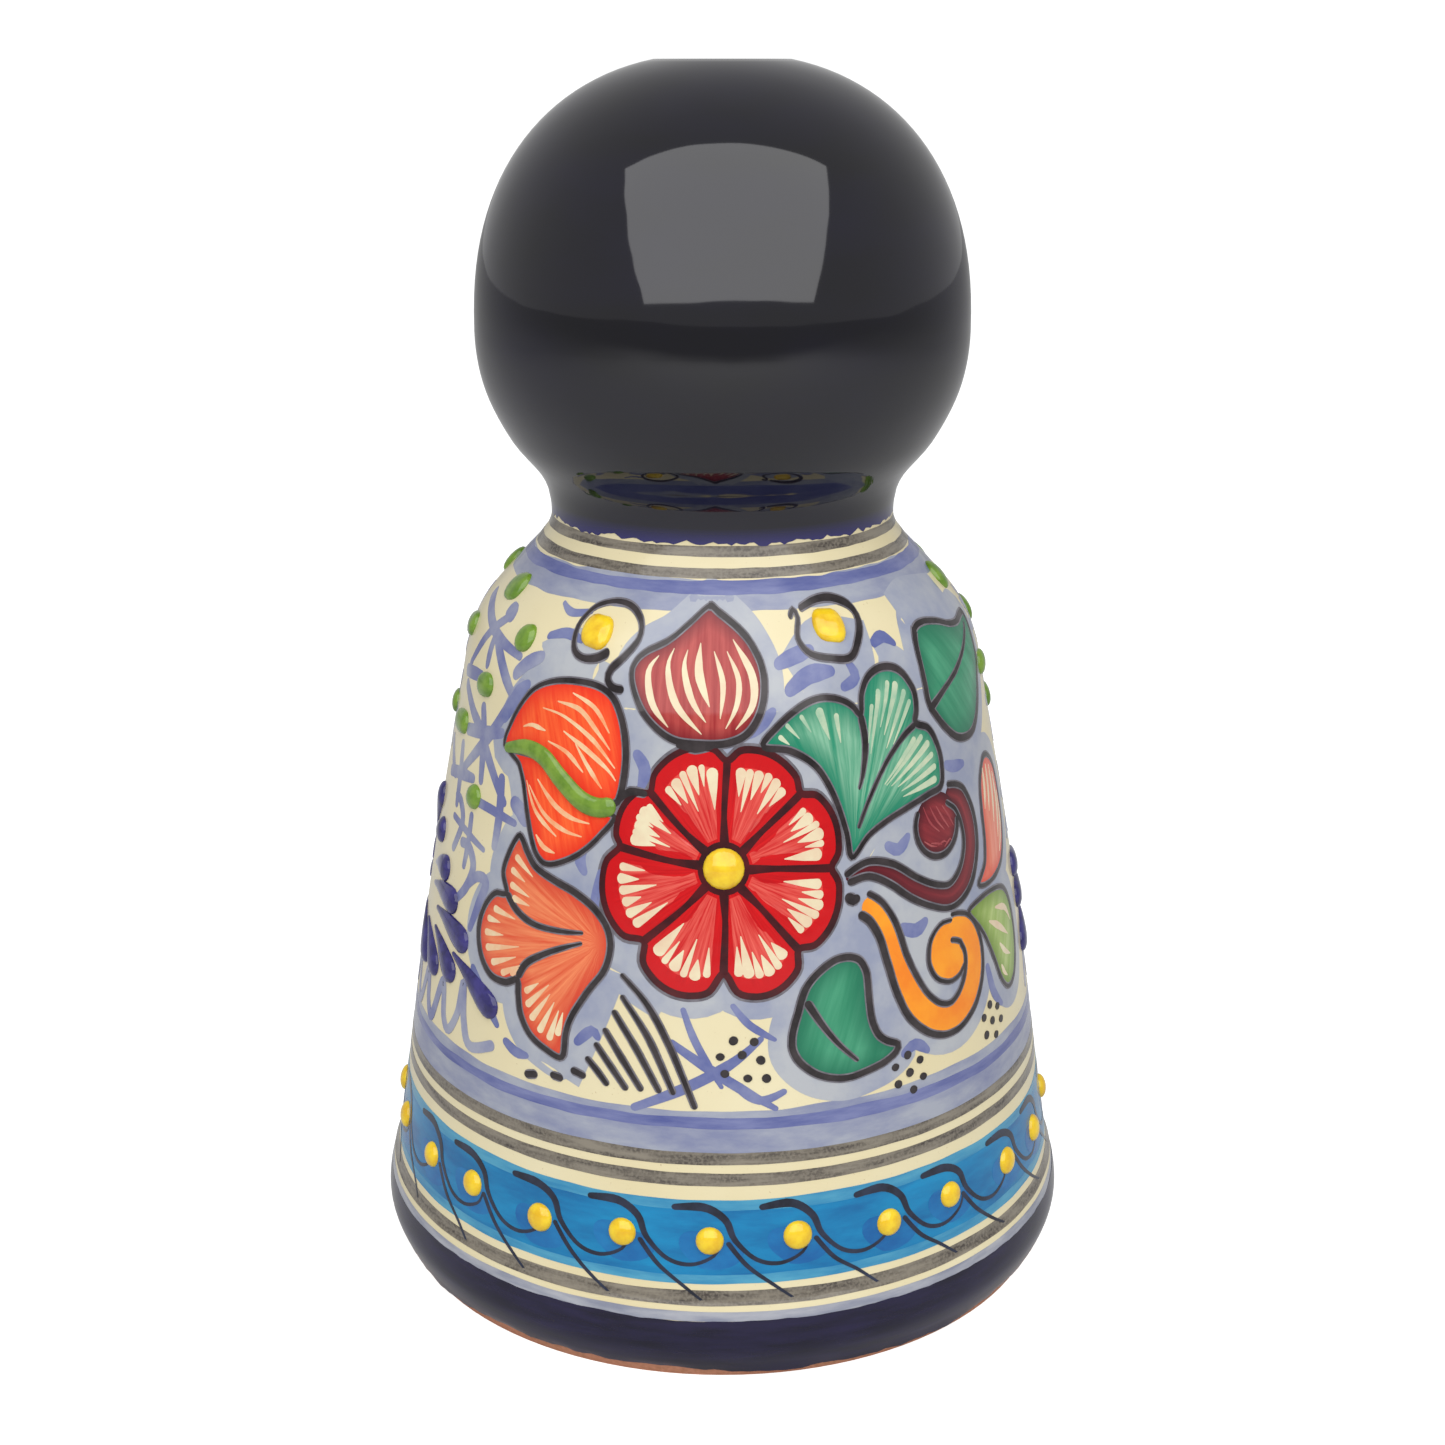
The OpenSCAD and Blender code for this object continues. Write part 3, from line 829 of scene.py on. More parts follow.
# Stronger blue strokes over the halo and the open ground, as (places, width)
GROUND_STROKES = [
    ([(-20, 67), (-8, 73), (2, 79), (9, 85)], 2.6), ([(-12, 84), (-2, 77), (12, 67.5)], 2.4),
    ([(-9, 92), (-6, 84), (0, 73)], 1.8), ([(2, 93), (6, 88), (12, 84)], 1.8),
    ([(-30, 122), (-31, 112), (-27, 102)], 2.4), ([(-23, 150), (-20, 146), (-21, 141)], 3.2),
    ([(4, 154), (9, 156), (14, 160)], 3.4), ([(14.5, 169), (20, 170.6), (27, 172)], 3.4),
    ([(-57, 171.6), (-50, 173), (-43, 172)], 2.2), ([(17, 163), (24, 166.6), (32, 167)], 4.0),
    ([(33, 163), (38, 165), (36, 169)], 2.8), ([(46, 171), (51, 172.2), (55, 170)], 2.6),
    ([(-68, 150), (-62, 158), (-58, 161)], 4.0), ([(66, 140), (70, 138.6), (76, 138)], 3.0),
    ([(42, 126), (46, 124), (50, 127)], 3.0), ([(44, 106), (49, 104), (53, 106)], 3.4),
    ([(-34, 130), (-36, 124), (-34, 120)], 3.2), ([(42, 75), (46, 77), (50, 74)], 2.8),
    ([(-68, 90), (-62, 84), (-56, 78)], 3.0), ([(74, 88), (76, 80), (80, 75)], 2.6),
    ([(-54, 76), (-50, 74), (-46, 74)], 2.6), ([(-34, 80), (-30, 84), (-28, 82)], 2.6),
    ([(-44, 178), (-52, 177), (-58, 178.6)], 1.6), ([(14, 72), (8, 70), (2, 74)], 2.0),
]
blue_strokes = Layer()
for count, (places, width) in enumerate(GROUND_STROKES):
    blue_strokes.stroke(places, [width * 0.7, width, width, width * 0.5],
                        BLUE + 0.003 * (count % 7))
strong_blue = brushed("strong_blue_stroke", (0.20, 0.22, 0.37), (0.095, 0.115, 0.29), 90)
blue_strokes.lay("ground_strokes", strong_blue)


# ---------------------------------------------------------------------------------------------
# The red flower. Eight petals of flat red, a coral fan brushed out from the heart of each, cream
# wedges scratched back to the glaze at the fan's edge, and dark lines between. A thick drop of
# yellow enamel stands at the heart.
def petal_paint(name, edge, heart, pale, streaks=14.0, rim=(2.0, 5.0)):
    """Colour that is deep at the rim and streaks paler inwards along the flow of the brush."""
    made, nodes, links, shader, where = blank(name)
    flow = nodes.new("ShaderNodeUVMap")
    flow.uv_map = "flow"
    streak = grain(nodes, links, flow.outputs["UV"], 1.0, 4, (streaks * 8, streaks * 0.6, 1), 0.6)
    inner = ramp(nodes, links, streak, (0.36, heart), (0.66, pale))
    depth = nodes.new("ShaderNodeAttribute")
    depth.attribute_name = "rim"
    gate = nodes.new("ShaderNodeMapRange")
    gate.inputs["From Min"].default_value = rim[0]
    gate.inputs["From Max"].default_value = rim[1]
    links.new(depth.outputs["Fac"], gate.inputs["Value"])
    tone = blend_colours(nodes, links, gate.outputs["Result"], edge, inner)
    links.new(tone, shader.inputs["Base Color"])
    glossy(shader, 0.12)
    orange_peel(nodes, links, shader, where, 0.1)
    return made


def round_heart(p):
    """Across and along a petal: the angle round the heart, and the way out from it."""
    d = p - HEART
    return math.degrees(math.atan2(d.y, d.x)) % 360 * 0.5, d.length


def filled(name, shapes, flow, paint):
    """Shapes filled in one colour, each with the way its brush runs."""
    layer = Layer()
    layer.sheet(shapes, FILL, flow)
    layer.lay(name, paint)


filled("flower_red", [flower], round_heart,
       petal_paint("flower_red", (0.50, 0.001, 0.004), (0.42, 0.001, 0.004),
                   (0.58, 0.005, 0.007), 10))

fan = Layer()
wedges = Layer()
for i in range(8):
    middle = petal_edge(i, 0.5)[0]
    rim = [petal_edge(i, 0.15 + 0.70 * k / 12) for k in range(13)]
    arc = [from_heart(angle, edge - 4.3) for angle, edge in rim]
    fan.sheet([arc + [from_heart(middle + 10, 7.0), from_heart(middle - 10, 7.0)]], 0.145,
              round_heart, 2.0)
    count = 6
    for k in range(count):
        angle, edge = petal_edge(i, 0.19 + 0.62 * k / (count - 1))
        far = edge - 4.1 - 0.4 * math.sin(5 * k + i)
        long = (5.5, 9.5, 5.0, 7.0, 10.0, 6.5)[(k + i) % 6]
        inward = angle + (middle - angle) * 0.12
        wide = 2.6 + 0.8 * math.sin(3 * k + 2 * i)
        wedges.stroke([from_heart(angle, far), from_heart(inward, far - long)],
                      [wide, wide * 0.6, 0.2], SCRATCH)
fan.lay("petal_fans", petal_paint("petal_coral", (0.62, 0.05, 0.04), (0.50, 0.010, 0.012),
                                  (0.68, 0.105, 0.080), 10, (0.0, 1.0)))
scratch = brushed("cream_scratch", (0.70, 0.62, 0.42), (0.66, 0.50, 0.34), 160)
wedges.lay("petal_wedges", scratch)

dark_line = brushed("dark_line", (0.040, 0.032, 0.034), (0.012, 0.009, 0.010), 150)
soft_edge = brushed("soft_line_edge", (0.185, 0.175, 0.20), (0.095, 0.088, 0.105), 260)
red_rim = Layer()
red_rim.stroke(flower[::2], [1.5, 1.7], 0.185, closed=True)
for angle, r in VALLEYS:
    red_rim.stroke([from_heart(angle, 5.2), from_heart(angle + 1.5, 13), from_heart(angle, r - 1.5),
                    from_heart(angle, r + 0.6)], [2.4, 1.4, 1.7, 2.0], 0.195)
red_rim.stroke([HEART + Vector((5.4 * math.cos(a), 5.3 * math.sin(a)))
                for a in (math.tau * k / 16 for k in range(16))],
               [1.7, 1.9, 1.6, 1.7], 0.20, closed=True)
red_rim.lay("flower_lines", brushed("wine_dark_line", (0.075, 0.005, 0.008), (0.026, 0.003, 0.005),
                                    150))


def enamel(name, colour, deep):
    """Thick glossy enamel, a little deeper where it pools."""
    made, nodes, links, shader, where = blank(name)
    links.new(ramp(nodes, links, grain(nodes, links, where, 330, 3), (0.32, deep), (0.62, colour)),
              shader.inputs["Base Color"])
    glossy(shader, 0.08, 0.3)
    ripple(nodes, links, shader, grain(nodes, links, where, 420, 2), 0.15, 0.0003)
    return made


yellow_enamel = enamel("yellow_enamel", (0.80, 0.56, 0.018), (0.68, 0.40, 0.010))
hearts = Layer()
hearts.dot(HEART, 9.6, 0.12, 2.1)
hearts.lay("flower_hearts_enamel", yellow_enamel, "yellow_enamel", "flower_hearts")


# ---------------------------------------------------------------------------------------------
# The rose bud above the flower. A pointed bud of dull rose, scratched with curved cream stripes
# that gather at its tip and foot.
def column_flow(centre, angle=0.0):
    """Across and along a direction through a centre."""
    c, s = math.cos(math.radians(angle)), math.sin(math.radians(angle))

    def flow(p):
        d = p - Vector(centre)
        return d.x * c + d.y * s, (d.y * c - d.x * s)
    return flow


filled("rose_bud", [rose_bud], column_flow((-7, 165)),
       petal_paint("rose_paint", (0.15, 0.006, 0.012), (0.29, 0.020, 0.022),
                   (0.44, 0.068, 0.058), 6, (0.5, 4.0)))
stripes = Layer()
ROSE_STRIPES = [([(-18.2, 171), (-20.6, 167.6), (-18.9, 161.1), (-14.2, 155.8)], 2.0),
                ([(-14, 172.6), (-15.2, 168.6), (-12.4, 161.1), (-5.4, 154.5)], 2.0),
                ([(-10, 172.4), (-10.6, 168.6), (-8.2, 162.1), (-4.3, 157.2)], 1.9),
                ([(-6.4, 173.8), (-6.4, 167.6), (-3.4, 160.6)], 2.5),
                ([(-2.4, 172.2), (0.1, 165.8), (-0.6, 158)], 1.6),
                ([(1.3, 172.2), (4.3, 166.7), (3.8, 161.1), (0.8, 155.8)], 1.6),
                ([(3.1, 174.5), (8, 167.6), (8, 161.1), (3.4, 155.6)], 2.2)]
for places, wide in ROSE_STRIPES:
    stripes.stroke(places, [0.2, wide * 0.8, wide, wide * 0.7, 0.2], SCRATCH)
stripes.lay("rose_stripes", scratch)


# ---------------------------------------------------------------------------------------------
# The orange bud at the left. Two bright lobes lie either side of a raised green S of enamel, with
# long cream stripes scratched to follow each lobe.
filled("orange_bud", [orange_upper, orange_lower], column_flow((-45, 142), 20),
       petal_paint("orange_red_paint", (0.68, 0.020, 0.006), (0.78, 0.048, 0.010),
                   (0.86, 0.13, 0.030), 8, (0.5, 5)))
bud_stripes = Layer()
BUD_STRIPES = [[(-42.4, 161), (-35, 158.5), (-30.2, 153.2)],
               [(-47, 158.5), (-39.6, 157.6), (-34, 153.4), (-29.7, 149.4)],
               [(-52, 156.2), (-44.2, 155.3), (-35, 151.2), (-28, 145.4)],
               [(-40.1, 149.7), (-35.9, 145.1), (-31.3, 140.4)],
               [(-44.2, 152), (-36.8, 148.8), (-30.3, 145.1), (-27.6, 142.6)],
               [(-58.6, 150.6), (-55.3, 151.6), (-50.2, 151.1)],
               [(-49, 148.9), (-42.4, 147.2), (-37, 143.4)],
               [(-51.2, 139.6), (-45.1, 134.9), (-39.6, 132.6), (-34, 132)],
               [(-53.9, 137.7), (-47.9, 132.1), (-41.4, 129.4), (-35.9, 128.7)],
               [(-55, 138.6), (-50.7, 132.1), (-43.3, 127.5)],
               [(-49.8, 126.8), (-47, 124.4), (-43.3, 123.6)]]
for count, places in enumerate(BUD_STRIPES):
    bud_stripes.stroke(places, [0.3, 1.0 + 0.3 * math.sin(count * 2), 1.2, 0.3], SCRATCH)
bud_stripes.lay("orange_bud_stripes", brushed("peach_scratch", (0.76, 0.56, 0.33), (0.78, 0.30, 0.13),
                                              170))
green_enamel = enamel("green_enamel", (0.165, 0.285, 0.030), (0.090, 0.190, 0.014))
STEM = [(-65.2, 144.2), (-57, 146), (-50, 145), (-43.4, 140.8), (-36.8, 136.9), (-31.6, 136),
        (-27.2, 137.2)]
stems = Layer()
stems.stroke(STEM, [2.4, 3.8, 4.6, 4.8, 4.8, 4.4], 0.12, 1.1)
stems.lay("bud_stem_enamel", green_enamel, "green_enamel", "bud_stems")


# ---------------------------------------------------------------------------------------------
# The coral trumpet flower below it, with three lobes scratched in fans from a common throat.
THROAT = Vector((-29, 105))


def from_throat(p):
    """The brush runs out of the throat into each lobe."""
    d = p - THROAT
    return math.degrees(math.atan2(d.y, -d.x)) * 0.5, d.length


filled("trumpet_flower", [trumpet], from_throat,
       petal_paint("coral_paint", (0.56, 0.042, 0.018), (0.64, 0.080, 0.028),
                   (0.76, 0.235, 0.095), 7, (0.5, 5)))
fans = Layer()
FANS = [((-34, 108), [(-55.8, 120.4), (-56.8, 117), (-56.6, 113.4), (-55.4, 110.4)], (7.5, 5.5, 7, 6)),
        ((-36, 104), [(-61.6, 106.2), (-63.6, 103.2), (-64, 99.6), (-63, 96), (-60.4, 93),
                      (-56.6, 91.4), (-53.6, 92.2)], (8, 5, 7, 12, 9, 7, 5)),
        ((-35, 100), [(-48.6, 89.2), (-47.8, 86), (-46.2, 83), (-43.6, 80.6), (-40.8, 79.4),
                      (-38.6, 81)], (5, 9, 9, 9, 8, 6))]


def scratched(layer, tip, foot, long, widths):
    """A tapering scratch from a tip towards a foot."""
    tip = Vector(tip)
    layer.stroke([tip, tip + (Vector(foot) - tip).normalized() * long], widths, SCRATCH)


for foot, tips, lengths in FANS:
    for tip, long in zip(tips, lengths):
        scratched(fans, tip, foot, long, [1.9, 1.2, 0.2])
fans.lay("trumpet_scratches", brushed("peach_cream_scratch", (0.72, 0.60, 0.38), (0.72, 0.40, 0.22),
                                      170))


# ---------------------------------------------------------------------------------------------
# The leaves. A green fan of three lobes, a heart-shaped leaf on the shoulder and a folded leaf
# below, all in watery copper green that is thick at the rim.
def from_fan_foot(p):
    """The fan leaf's brush runs out from its foot."""
    d = p - Vector((33, 125))
    return math.degrees(math.atan2(d.y, d.x)) * 0.5, d.length


filled("fan_leaf", [fan_leaf], from_fan_foot,
       petal_paint("fan_leaf_green", (0.006, 0.180, 0.100), (0.025, 0.240, 0.135),
                   (0.24, 0.47, 0.32), 7, (0.5, 6)))
leaf_marks = Layer()
FAN_MARKS = [((14.6, 153.8), 3.5, 1.4), ((16.6, 156.4), 5, 1.2), ((20.6, 158.2), 5, 1.2),
             ((25.6, 159.4), 8, 2.4), ((30.6, 157.8), 7, 1.5),
             ((41.8, 158.6), 9, 1.3), ((44.6, 161.6), 15, 1.6), ((48.2, 163), 11, 1.5),
             ((51, 162.4), 13, 2.0), ((53.6, 160.2), 15, 1.6), ((55.2, 157.6), 12, 1.4),
             ((55.6, 148.6), 15, 1.5), ((58.4, 148.6), 17, 1.5), ((60.8, 146.6), 17, 1.8),
             ((61.8, 143.6), 15, 1.5), ((62.4, 140.6), 14, 1.6), ((62, 137.6), 13, 1.8)]
for tip, long, wide in FAN_MARKS:
    foot = (33, 140) if tip[0] < 32 else (36, 134)
    scratched(leaf_marks, tip, foot, long, [wide, wide * 0.7, 0.2])
leaf_marks.lay("fan_leaf_scratches", brushed("pale_green_scratch", (0.56, 0.60, 0.42),
                                             (0.30, 0.46, 0.32), 150))
broad_leaves = Layer()
broad_leaves.sheet([heart_leaf], FILL, column_flow((80, 158), 40))
broad_leaves.sheet([low_leaf], FILL, column_flow((26, 86), -20))
broad_leaves.lay("broad_leaves", petal_paint("watery_leaf_green", (0.005, 0.130, 0.068),
                                             (0.014, 0.190, 0.096), (0.065, 0.31, 0.175), 2.6,
                                             (0.3, 6)))


# ---------------------------------------------------------------------------------------------
# The right-hand sprays: a wine scroll and its bud, an orange scroll, a coral petal and a lime
# petal that turn round the side of the cone.
wine = Layer()
wine.stroke(*WINE_SCROLL, FILL)
wine.sheet([wine_bud], OVER, column_flow((60, 126), 60))
wine.lay("wine_scroll", petal_paint("wine_paint", (0.055, 0.003, 0.008), (0.125, 0.006, 0.014),
                                    (0.24, 0.022, 0.028), 4, (0.5, 3)))
wine_marks = Layer()
for k in range(4):
    wine_marks.stroke([(55.6 + 2.4 * k, 132 - 0.4 * k), (57.4 + 2.5 * k, 128), (60.6 + 2.0 * k, 125)],
                      [0.2, 0.6, 0.2], 0.16)
    wine_marks.stroke([(54.6 + 2.4 * k, 124 - k), (57 + 2.5 * k, 122.4), (59 + 2.0 * k, 121.8)],
                      [0.2, 0.5, 0.2], 0.16)
wine_marks.lay("wine_marks", brushed("rose_scratch", (0.36, 0.085, 0.085), (0.26, 0.03, 0.04), 150))

swirl = Layer()
swirl.stroke(*ORANGE_SCROLL, FILL)
swirl.sheet([orange_bud_end], OVER)
swirl.lay("orange_scroll", brushed("orange_paint", (0.84, 0.30, 0.012), (0.78, 0.20, 0.008), 90,
                                   rough=0.1))

filled("coral_side_petal", [coral_petal], column_flow((87, 121), -10),
       petal_paint("salmon_paint", (0.60, 0.060, 0.032), (0.66, 0.145, 0.070),
                   (0.72, 0.24, 0.16), 6, (0.5, 4)))
filled("lime_side_petal", [lime_petal], column_flow((84, 92), -35),
       petal_paint("lime_paint", (0.135, 0.225, 0.022), (0.23, 0.36, 0.050),
                   (0.40, 0.50, 0.17), 4, (0.5, 5)))
SIDE_MARKS = [([(87, 133.8), (86.4, 129), (84.6, 124)], 1.5),
              ([(90, 134), (89.4, 128.4), (87.4, 122.6)], 1.5),
              ([(93, 133), (92.4, 126), (90, 119)], 1.5),
              ([(95.6, 130.4), (95, 122), (91.6, 114.6)], 1.6),
              ([(97.4, 125), (96, 117), (91, 111)], 1.4),
              ([(77.6, 97.6), (83, 94.4), (88.6, 90.2)], 2.0),
              ([(82, 99.6), (88.6, 97.2), (92, 92.6)], 1.8),
              ([(82.2, 90.2), (85, 87.2), (88.6, 85)], 1.6),
              ([(81.8, 84.8), (83, 82.4), (84.9, 80.7)], 1.4)]
side_marks = Layer()
for places, wide in SIDE_MARKS:
    side_marks.stroke(places, [0.5, wide, wide * 0.8, 0.2], SCRATCH)
side_marks.lay("side_petal_scratches", scratch)


# ---------------------------------------------------------------------------------------------
# The dark line work. A brush of manganese brown-black outlines every shape, with veins,
# hatching, seed dots and loops, and each line bleeds a little grey into the glaze.
def beside(places, widths, side):
    """The line along one side of a stroke of changing width."""
    path = smooth(places, step=3.0)
    made = []
    for i, p in enumerate(path):
        heading = heading_at(path, i)
        width = width_at(widths, i / (len(path) - 1))
        made.append(p + Vector((-heading.y, heading.x)) * side * width / 2)
    return made


def arc_of(shape, start, end):
    """The stretch of a closed outline between two shares of the way round."""
    count = len(shape)
    return [shape[int(count * (start + (end - start) * k / 12)) % count] for k in range(13)]


# The shorter lines of the hatching under the trumpet flower
HATCHING = [[(-25, 89.8), (-19, 81), (-13.6, 71.4)], [(-27, 85.2), (-22, 78), (-17.6, 71.4)],
            [(-29, 81.4), (-25, 76.4), (-21, 71.2)], [(-31, 77.6), (-28, 74.6), (-25.4, 71.6)]]

# Every line as (places, widths, closed)
LINES = [
    (rose_bud[::3], [1.1, 1.5, 2.0, 2.2, 1.6], True),
    (orange_upper[::3], [1.0, 1.2, 1.6, 2.2, 2.0, 1.0, 1.0], True),
    (orange_lower[::3], [1.2, 1.5, 1.3, 1.6, 1.0], True),
    (trumpet[::2], [1.5, 1.6, 2.0, 1.7, 1.6, 2.0, 1.8], True),
    (fan_leaf[::2], [1.6, 1.9, 1.6, 2.1, 1.8, 1.3], True),
    (heart_leaf[::3], [2.1, 2.2, 1.9, 1.5, 1.4], True),
    (low_leaf[::3], [1.9, 2.0, 1.8, 2.0], True), (coral_petal[::3], [1.3, 1.5, 1.2, 1.2], True),
    (lime_petal[::3], [1.1, 1.3, 1.2, 1.2], True),
    (arc_of(wine_bud, 0.40, 1.0), [1.4, 1.8, 1.6], False),
    (arc_of(orange_bud_end, 0.22, 0.90), [0.8, 1.4, 0.9], False),
    ([(62.5, 153.6), (70.8, 157.2), (80.1, 160.5), (89.4, 164.2), (97.4, 167.9)],
     [2.6, 1.6, 1.3, 1.0, 0.6], False),
    ([(19, 92.6), (22.7, 86.4), (26.4, 81.3), (30.8, 76.6)], [2.2, 1.7, 1.2, 0.7], False),
    ([(38, 156.6), (38.8, 150.3), (37.5, 143.8), (35.8, 139.6)], [2.2, 2.2, 1.6, 0.5], False),
    ([(56.2, 151.6), (51.4, 149.6), (45.8, 145.6), (41.2, 140.6), (37.5, 135.5), (34.7, 130.8)],
     [1.9, 1.4, 1.2, 1.0, 0.7], False),
    ([(-57.4, 111), (-53.5, 107.8), (-47.9, 105.9), (-40.5, 105.8), (-33.5, 106.6)],
     [2.2, 1.9, 1.5, 1.2, 0.5], False),
    ([(-51.2, 92), (-48.9, 96), (-44.2, 99.3), (-38.7, 102.1), (-33.6, 104.2)],
     [2.2, 1.9, 1.6, 1.2, 0.5], False),
    ([(-27, 138), (-23.5, 140.6), (-19, 140.4)], [1.8, 2.4, 1.8], False),
    ([(-12, 152), (-7, 151.4), (-2, 152)], [1.6, 2.8, 1.6], False),
    (beside(*WINE_SCROLL, 1), [1.8, 2.0, 1.8, 1.6, 1.5, 1.2], False),
    (beside(*WINE_SCROLL, -1), [2.0, 2.0, 1.6, 1.8, 1.8, 1.6], False),
    (beside(*ORANGE_SCROLL, 1), [1.6, 1.9, 1.6, 1.4, 1.2], False),
    (beside(*ORANGE_SCROLL, -1), [2.4, 2.2, 2.0, 1.6, 1.3, 1.2], False),
    ([(30, 116), (32, 114.6), (33.6, 115.4)], [2.6, 3.4, 2.0], False),
    ([(-23.5, 98.6), (-17, 92), (-11.4, 82), (-5.8, 68)], [1.0, 1.7, 1.5, 1.2], False),
    ([(-23.2, 93.6), (-16.4, 84), (-10.5, 71.2)], [1.0, 1.6, 1.2], False),
    *[(places, [1.3, 1.6, 1.2], False) for places in HATCHING],
    ([(-46.8, 69.4), (-43.2, 70.4)], [2.0, 2.2], False),
    ([(-39.8, 71.4), (-36.4, 71.0)], [1.9, 1.9], False),
    ([(-34.6, 73.8), (-30.8, 72.8)], [2.0, 1.8], False),
    ([(-33.4, 170.8), (-36.8, 169.2), (-41.4, 168.7), (-45.1, 170.1), (-47, 173.8), (-46.4, 176.6),
      (-43.3, 179.2), (-36.8, 180.5), (-30.3, 179.8), (-25.9, 177.1), (-25.3, 173.8),
      (-28.5, 170.1), (-31.7, 167.3), (-32.2, 165), (-30.3, 163.4), (-27.1, 163.2)],
     [2.6, 1.6, 1.4, 1.1, 1.4, 1.7, 2.2, 2.0], False),
    ([(21.6, 178), (23.4, 179.6), (24.4, 178), (22.8, 174.1), (25.6, 170.9), (32, 169.5), (37.6, 169.2),
      (41.3, 171.8), (45, 176), (44.1, 179.2), (38.5, 181.1), (32, 181.1), (25.6, 179.7)],
     [1.2, 1.5, 1.6, 2.0, 2.4, 1.8, 1.4], False),
]

# Seed dots in three clusters
SEEDS = [(2.4, 84.4), (7, 84), (-0.5, 80.6), (4.3, 81), (8.4, 79.6), (0.5, 76.6), (5.5, 75.4),
         (9.6, 75.2), (43.6, 75), (40.1, 72.9), (47, 72.9), (43.9, 70.6), (40.6, 68.6), (47.6, 68.6),
         (44.6, 66.2), (73.4, 77.6), (70.2, 75.4), (77, 75.8), (73.9, 73.3), (70.6, 70.8),
         (78.2, 72), (75, 69.2)]

LINE_WEIGHT = 0.78
lines, bleed = Layer(), Layer()
bleed.stroke(flower[::2], [2.9, 3.1, 2.7, 3.0], 0.085, closed=True)
for count, (places, widths, closed) in enumerate(LINES):
    widths = [LINE_WEIGHT * w for w in widths]
    lines.stroke(places, widths, OUTLINE_LIFT + 0.003 * (count % 9), closed=closed)
    bleed.stroke(places, [w + 0.7 for w in widths], 0.158 + 0.001 * (count % 9), closed=closed)
for count, place in enumerate(SEEDS):
    slant = 0.6 * math.cos(2.3 * count)
    lines.stroke([(place[0] - slant, place[1] - 0.9), (place[0] + slant, place[1] + 0.9)],
                 [1.9, 2.2], OUTLINE_LIFT)
lines.lay("dark_outlines", dark_line)
bleed.lay("line_bleed", soft_edge)
loop_drops = Layer()
for u, z in ((-39.6, 174.3), (33.9, 176)):
    loop_drops.stroke([(u - 5.2, z + 0.5), (u + 5.2, z - 0.5)], [6.2, 7.0], 0.12, 1.7)
loop_drops.lay("loop_drops_enamel", yellow_enamel, "yellow_enamel", "loop_beads")


# ---------------------------------------------------------------------------------------------
# The beaded band. Each yellow enamel drop sits in the crook of a dark curled brush stroke, with a
# diagonal flick after it, all round the turquoise ring.
BEADS = 25
band_lines, band_pools, band_drops = Layer((0.0,)), Layer((0.0,)), Layer((0.0,))
for i in range(BEADS):
    turn = math.radians(i * 360 / BEADS + 0.9 * math.sin(math.radians(211 * i)) - 2)
    here = 36.3 + 0.7 * math.sin(math.radians(137 * i))
    u = turn * TURN_R
    sway = math.sin(math.radians(75 * i))
    curl = [(-8, 44.2), (-1.2, 44.4 + 0.4 * sway), (3.2, 41.4), (5.2, 36.4), (9.6, 31.6),
            (14.6, 30.4), (19.2, 32.6), (20.6, 36)]
    flick = [(3.6, 36.0), (7.6, 30.2), (12.6, 25.6 + 0.5 * sway), (17.4, 21.4)]
    band_lines.stroke([(u + a, z) for a, z in curl], [1.4, 2.1, 1.7, 1.3, 1.0, 1.0, 0.8, 0.5],
                      0.12 + 0.004 * (i % 4))
    band_lines.stroke([(u + a, z) for a, z in flick], [1.1, 1.0, 0.8, 0.5], 0.135 + 0.004 * (i % 4))
    band_pools.stroke([(u - 6, here + 1), (u + 1, here - 3), (u + 7, here - 2)], [5, 9, 5],
                      0.08 + 0.003 * (i % 3))
    band_drops.dot((u, here), 6.7 + 0.3 * math.sin(math.radians(97 * i)), 0.06, 1.75)
band_lines.lay("band_curls", brushed("blue_black_line", (0.022, 0.030, 0.060), (0.008, 0.010, 0.020),
                                     150))
band_pools.lay("band_pools", brushed("deep_turquoise", (0.008, 0.165, 0.40), (0.004, 0.095, 0.30), 70,
                                     (1, 1, 2)))
band_drops.lay("band_beads_enamel", yellow_enamel, "yellow_enamel", "band_beads")


# ---------------------------------------------------------------------------------------------
# The side panels. Between the faces, blue brushed stars carry green enamel dots, above a fan of
# raised cobalt teardrops that spring from one root and a looped scribble.
PANEL = math.radians(-76.4)
SIDES = (PANEL, PANEL + math.pi)
stars, teardrops, dots = Layer(SIDES), Layer(SIDES), Layer(SIDES)

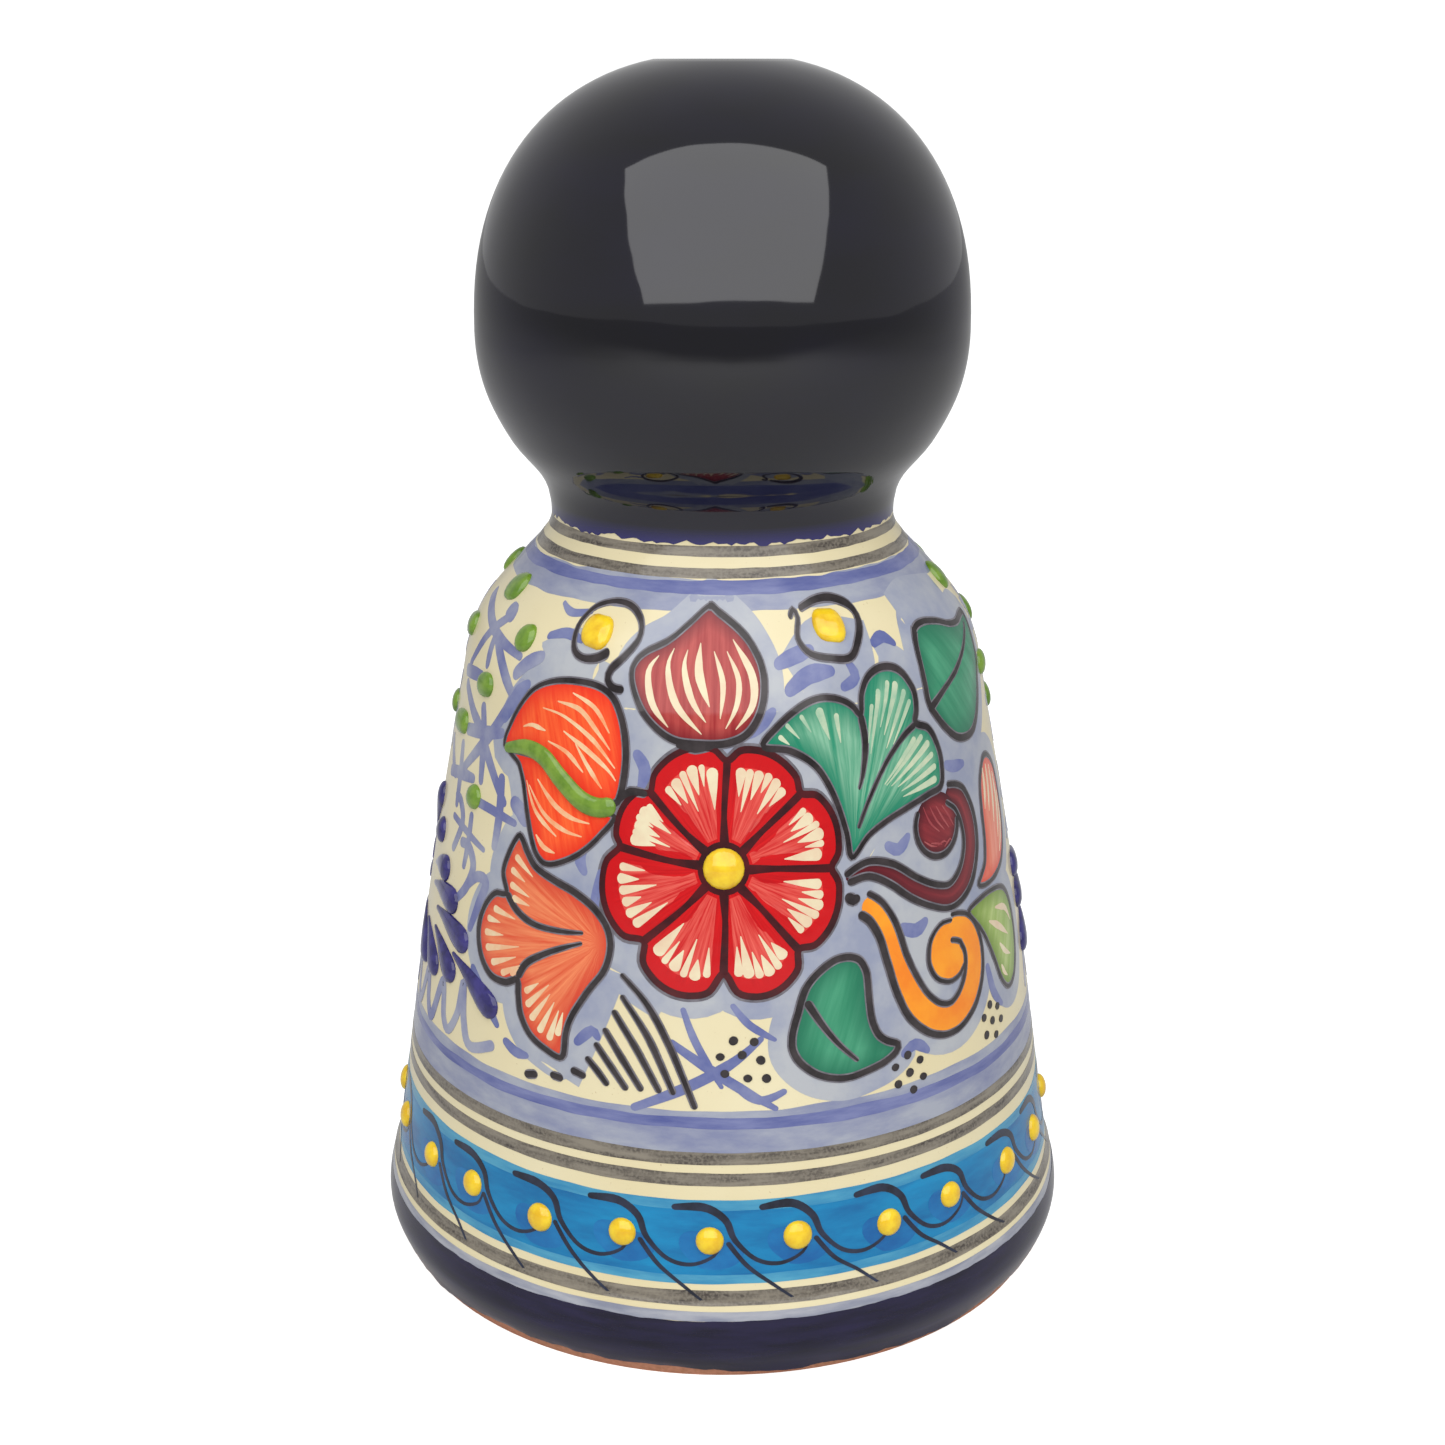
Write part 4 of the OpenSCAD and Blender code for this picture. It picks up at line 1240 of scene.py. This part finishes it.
# Strokes of the stars, as places measured from the middle of the panel
STAR_STROKES = [
    ([(-6, 174.5), (16.1, 168.7), (35.9, 165.6)], 2.6), ([(22.4, 173.4), (13, 167.2), (4, 156.6)], 3.0),
    ([(16.8, 174), (21, 173.6), (23.6, 172)], 3.4), ([(19.2, 168.4), (29.7, 160.9), (39, 153.8)], 3.2),
    ([(18.2, 168.2), (18.4, 164), (19.2, 159.9)], 3.0), ([(0.5, 155.7), (9, 156.8), (18.2, 157.8)], 3.4),
    ([(3.6, 153.6), (14, 148.4), (22.4, 144.3), (38, 130.7)], 3.2),
    ([(10.9, 143.2), (23.4, 145.3), (33.8, 147.4)], 3.4),
    ([(20.3, 152.1), (23.4, 144.3), (25.5, 132.8)], 3.2),
    ([(39.4, 161), (27.6, 146.3), (12, 132.8)], 3.4), ([(0.5, 129.7), (11, 132), (21.9, 133.3)], 3.2),
    ([(9.4, 140.1), (11.4, 132), (12.2, 123.4)], 3.2), ([(20.3, 128.6), (32, 128.6), (43.2, 127.6)], 2.4),
    ([(34.9, 138), (36, 128), (35.4, 119.3)], 3.0), ([(10.9, 121.3), (20, 120.4), (31.8, 118.2)], 1.9),
    ([(22.9, 125.5), (23.2, 118), (22.4, 110.9)], 2.4),
    ([(14, 113), (18.2, 121.3), (15, 126), (10.4, 126.5)], 2.6),
    ([(18.6, 116.8), (24, 117), (27.4, 113), (25, 107), (19.2, 101.5)], 2.8),
    ([(25.4, 107.8), (30, 111.4), (34, 111), (32, 105), (29.1, 97.4)], 2.8),
    ([(40, 133), (44, 131), (47, 128)], 4.0), ([(34, 161), (39, 165), (45, 167.6)], 3.6),
    ([(-4, 138), (3, 132.4), (8, 130)], 2.8), ([(-26, 171), (-18, 165), (-10, 158)], 3.0),
    ([(-30, 165), (-18, 165.6), (-8, 166)], 2.8), ([(-21, 174), (-19, 165), (-16, 156)], 2.8),
    ([(-30, 146), (-16, 143.6), (-4, 143)], 3.2), ([(-24, 154), (-15, 144), (-6, 134)], 3.2),
    ([(-8, 153), (-16, 143), (-25, 134)], 2.8), ([(-30, 122), (-20, 118), (-12, 121)], 2.8),
    ([(-24, 128), (-20, 119), (-21, 111)], 2.6), ([(-32, 110), (-27, 113), (-22, 109)], 2.6),
]
for count, (places, width) in enumerate(STAR_STROKES):
    stars.stroke(places, [width * 0.9, width, width, width * 0.7], WASH + 0.002 * (count % 31))
SCRIBBLE = [(-34, 70), (-29, 79.5), (-25, 70.4), (-21, 72), (-17, 81), (-13.4, 71), (-9, 70), (-4, 79.8),
            (-1, 71), (3, 69.4), (7.8, 79.6), (10.4, 72), (14, 69.6), (19, 80.8), (21.4, 72.4),
            (24.5, 70.3), (28, 76), (29.4, 84.4), (31, 75.5), (34.5, 70), (43.2, 73.4)]
stars.stroke(SCRIBBLE, [2.2, 2.7, 2.4, 2.8, 2.3, 2.7], OVER)
stars.lay("side_stars", brushed("star_blue", (0.30, 0.315, 0.40), (0.125, 0.14, 0.31), 45,
                                low=0.38, high=0.60))

# (arc, height, half width) of the dots, and the tail and head of each drop of the spray
VINE = [(12, 178, 5.6), (34.4, 169.8, 4.0), (20.3, 156.3, 4.6), (5.8, 143.7, 5.6),
        (22.9, 129.2, 3.6), (-8, 165.4, 5.4), (-30, 178, 4.4), (-31, 156.3, 4.0),
        (-14.5, 143.7, 4.6)]
DROPS = [((22.4, 89.6), (40.1, 82)), ((8, 96.2), (26.6, 93.8)), ((2, 100.5), (19.3, 101.2)),
         ((0, 105), (12.5, 107.2)), ((-9, 109.2), (3.6, 114.5)), ((-13.5, 109.5), (-6.4, 121.6)),
         ((8.5, 91.4), (22.4, 84.2)), ((0, 90.4), (12.2, 81.8)), ((-9.6, 90.8), (3, 81.6)),
         ((-14, 100.8), (-30, 101.8)), ((-12.5, 96.6), (-29.6, 93.2)), ((-14, 88), (-30.5, 81.4))]
for u, z, reach in VINE:
    dots.stroke([(u - reach, z - 0.5), (u + reach, z + 0.6)], [5.2, 6.2, 5.4], 0.1, 1.5)
for (u0, z0), (u1, z1) in DROPS:
    bow = ((u0 + u1) / 2, (z0 + z1) / 2 + 1.0)
    teardrops.stroke([(u0, z0), bow, (u1 + 0.16 * (u1 - u0), z1 + 0.16 * (z1 - z0))],
                     [1.0, 2.6, 4.8, 6.6, 6.8], 0.1, 1.5)
teardrops.lay("teardrop_enamel", enamel("cobalt_enamel", (0.036, 0.030, 0.165), (0.015, 0.012, 0.080)),
              "cobalt_enamel", "cobalt_drops")
dots.lay("vine_dot_enamel", green_enamel, "green_enamel", "vine_dots")
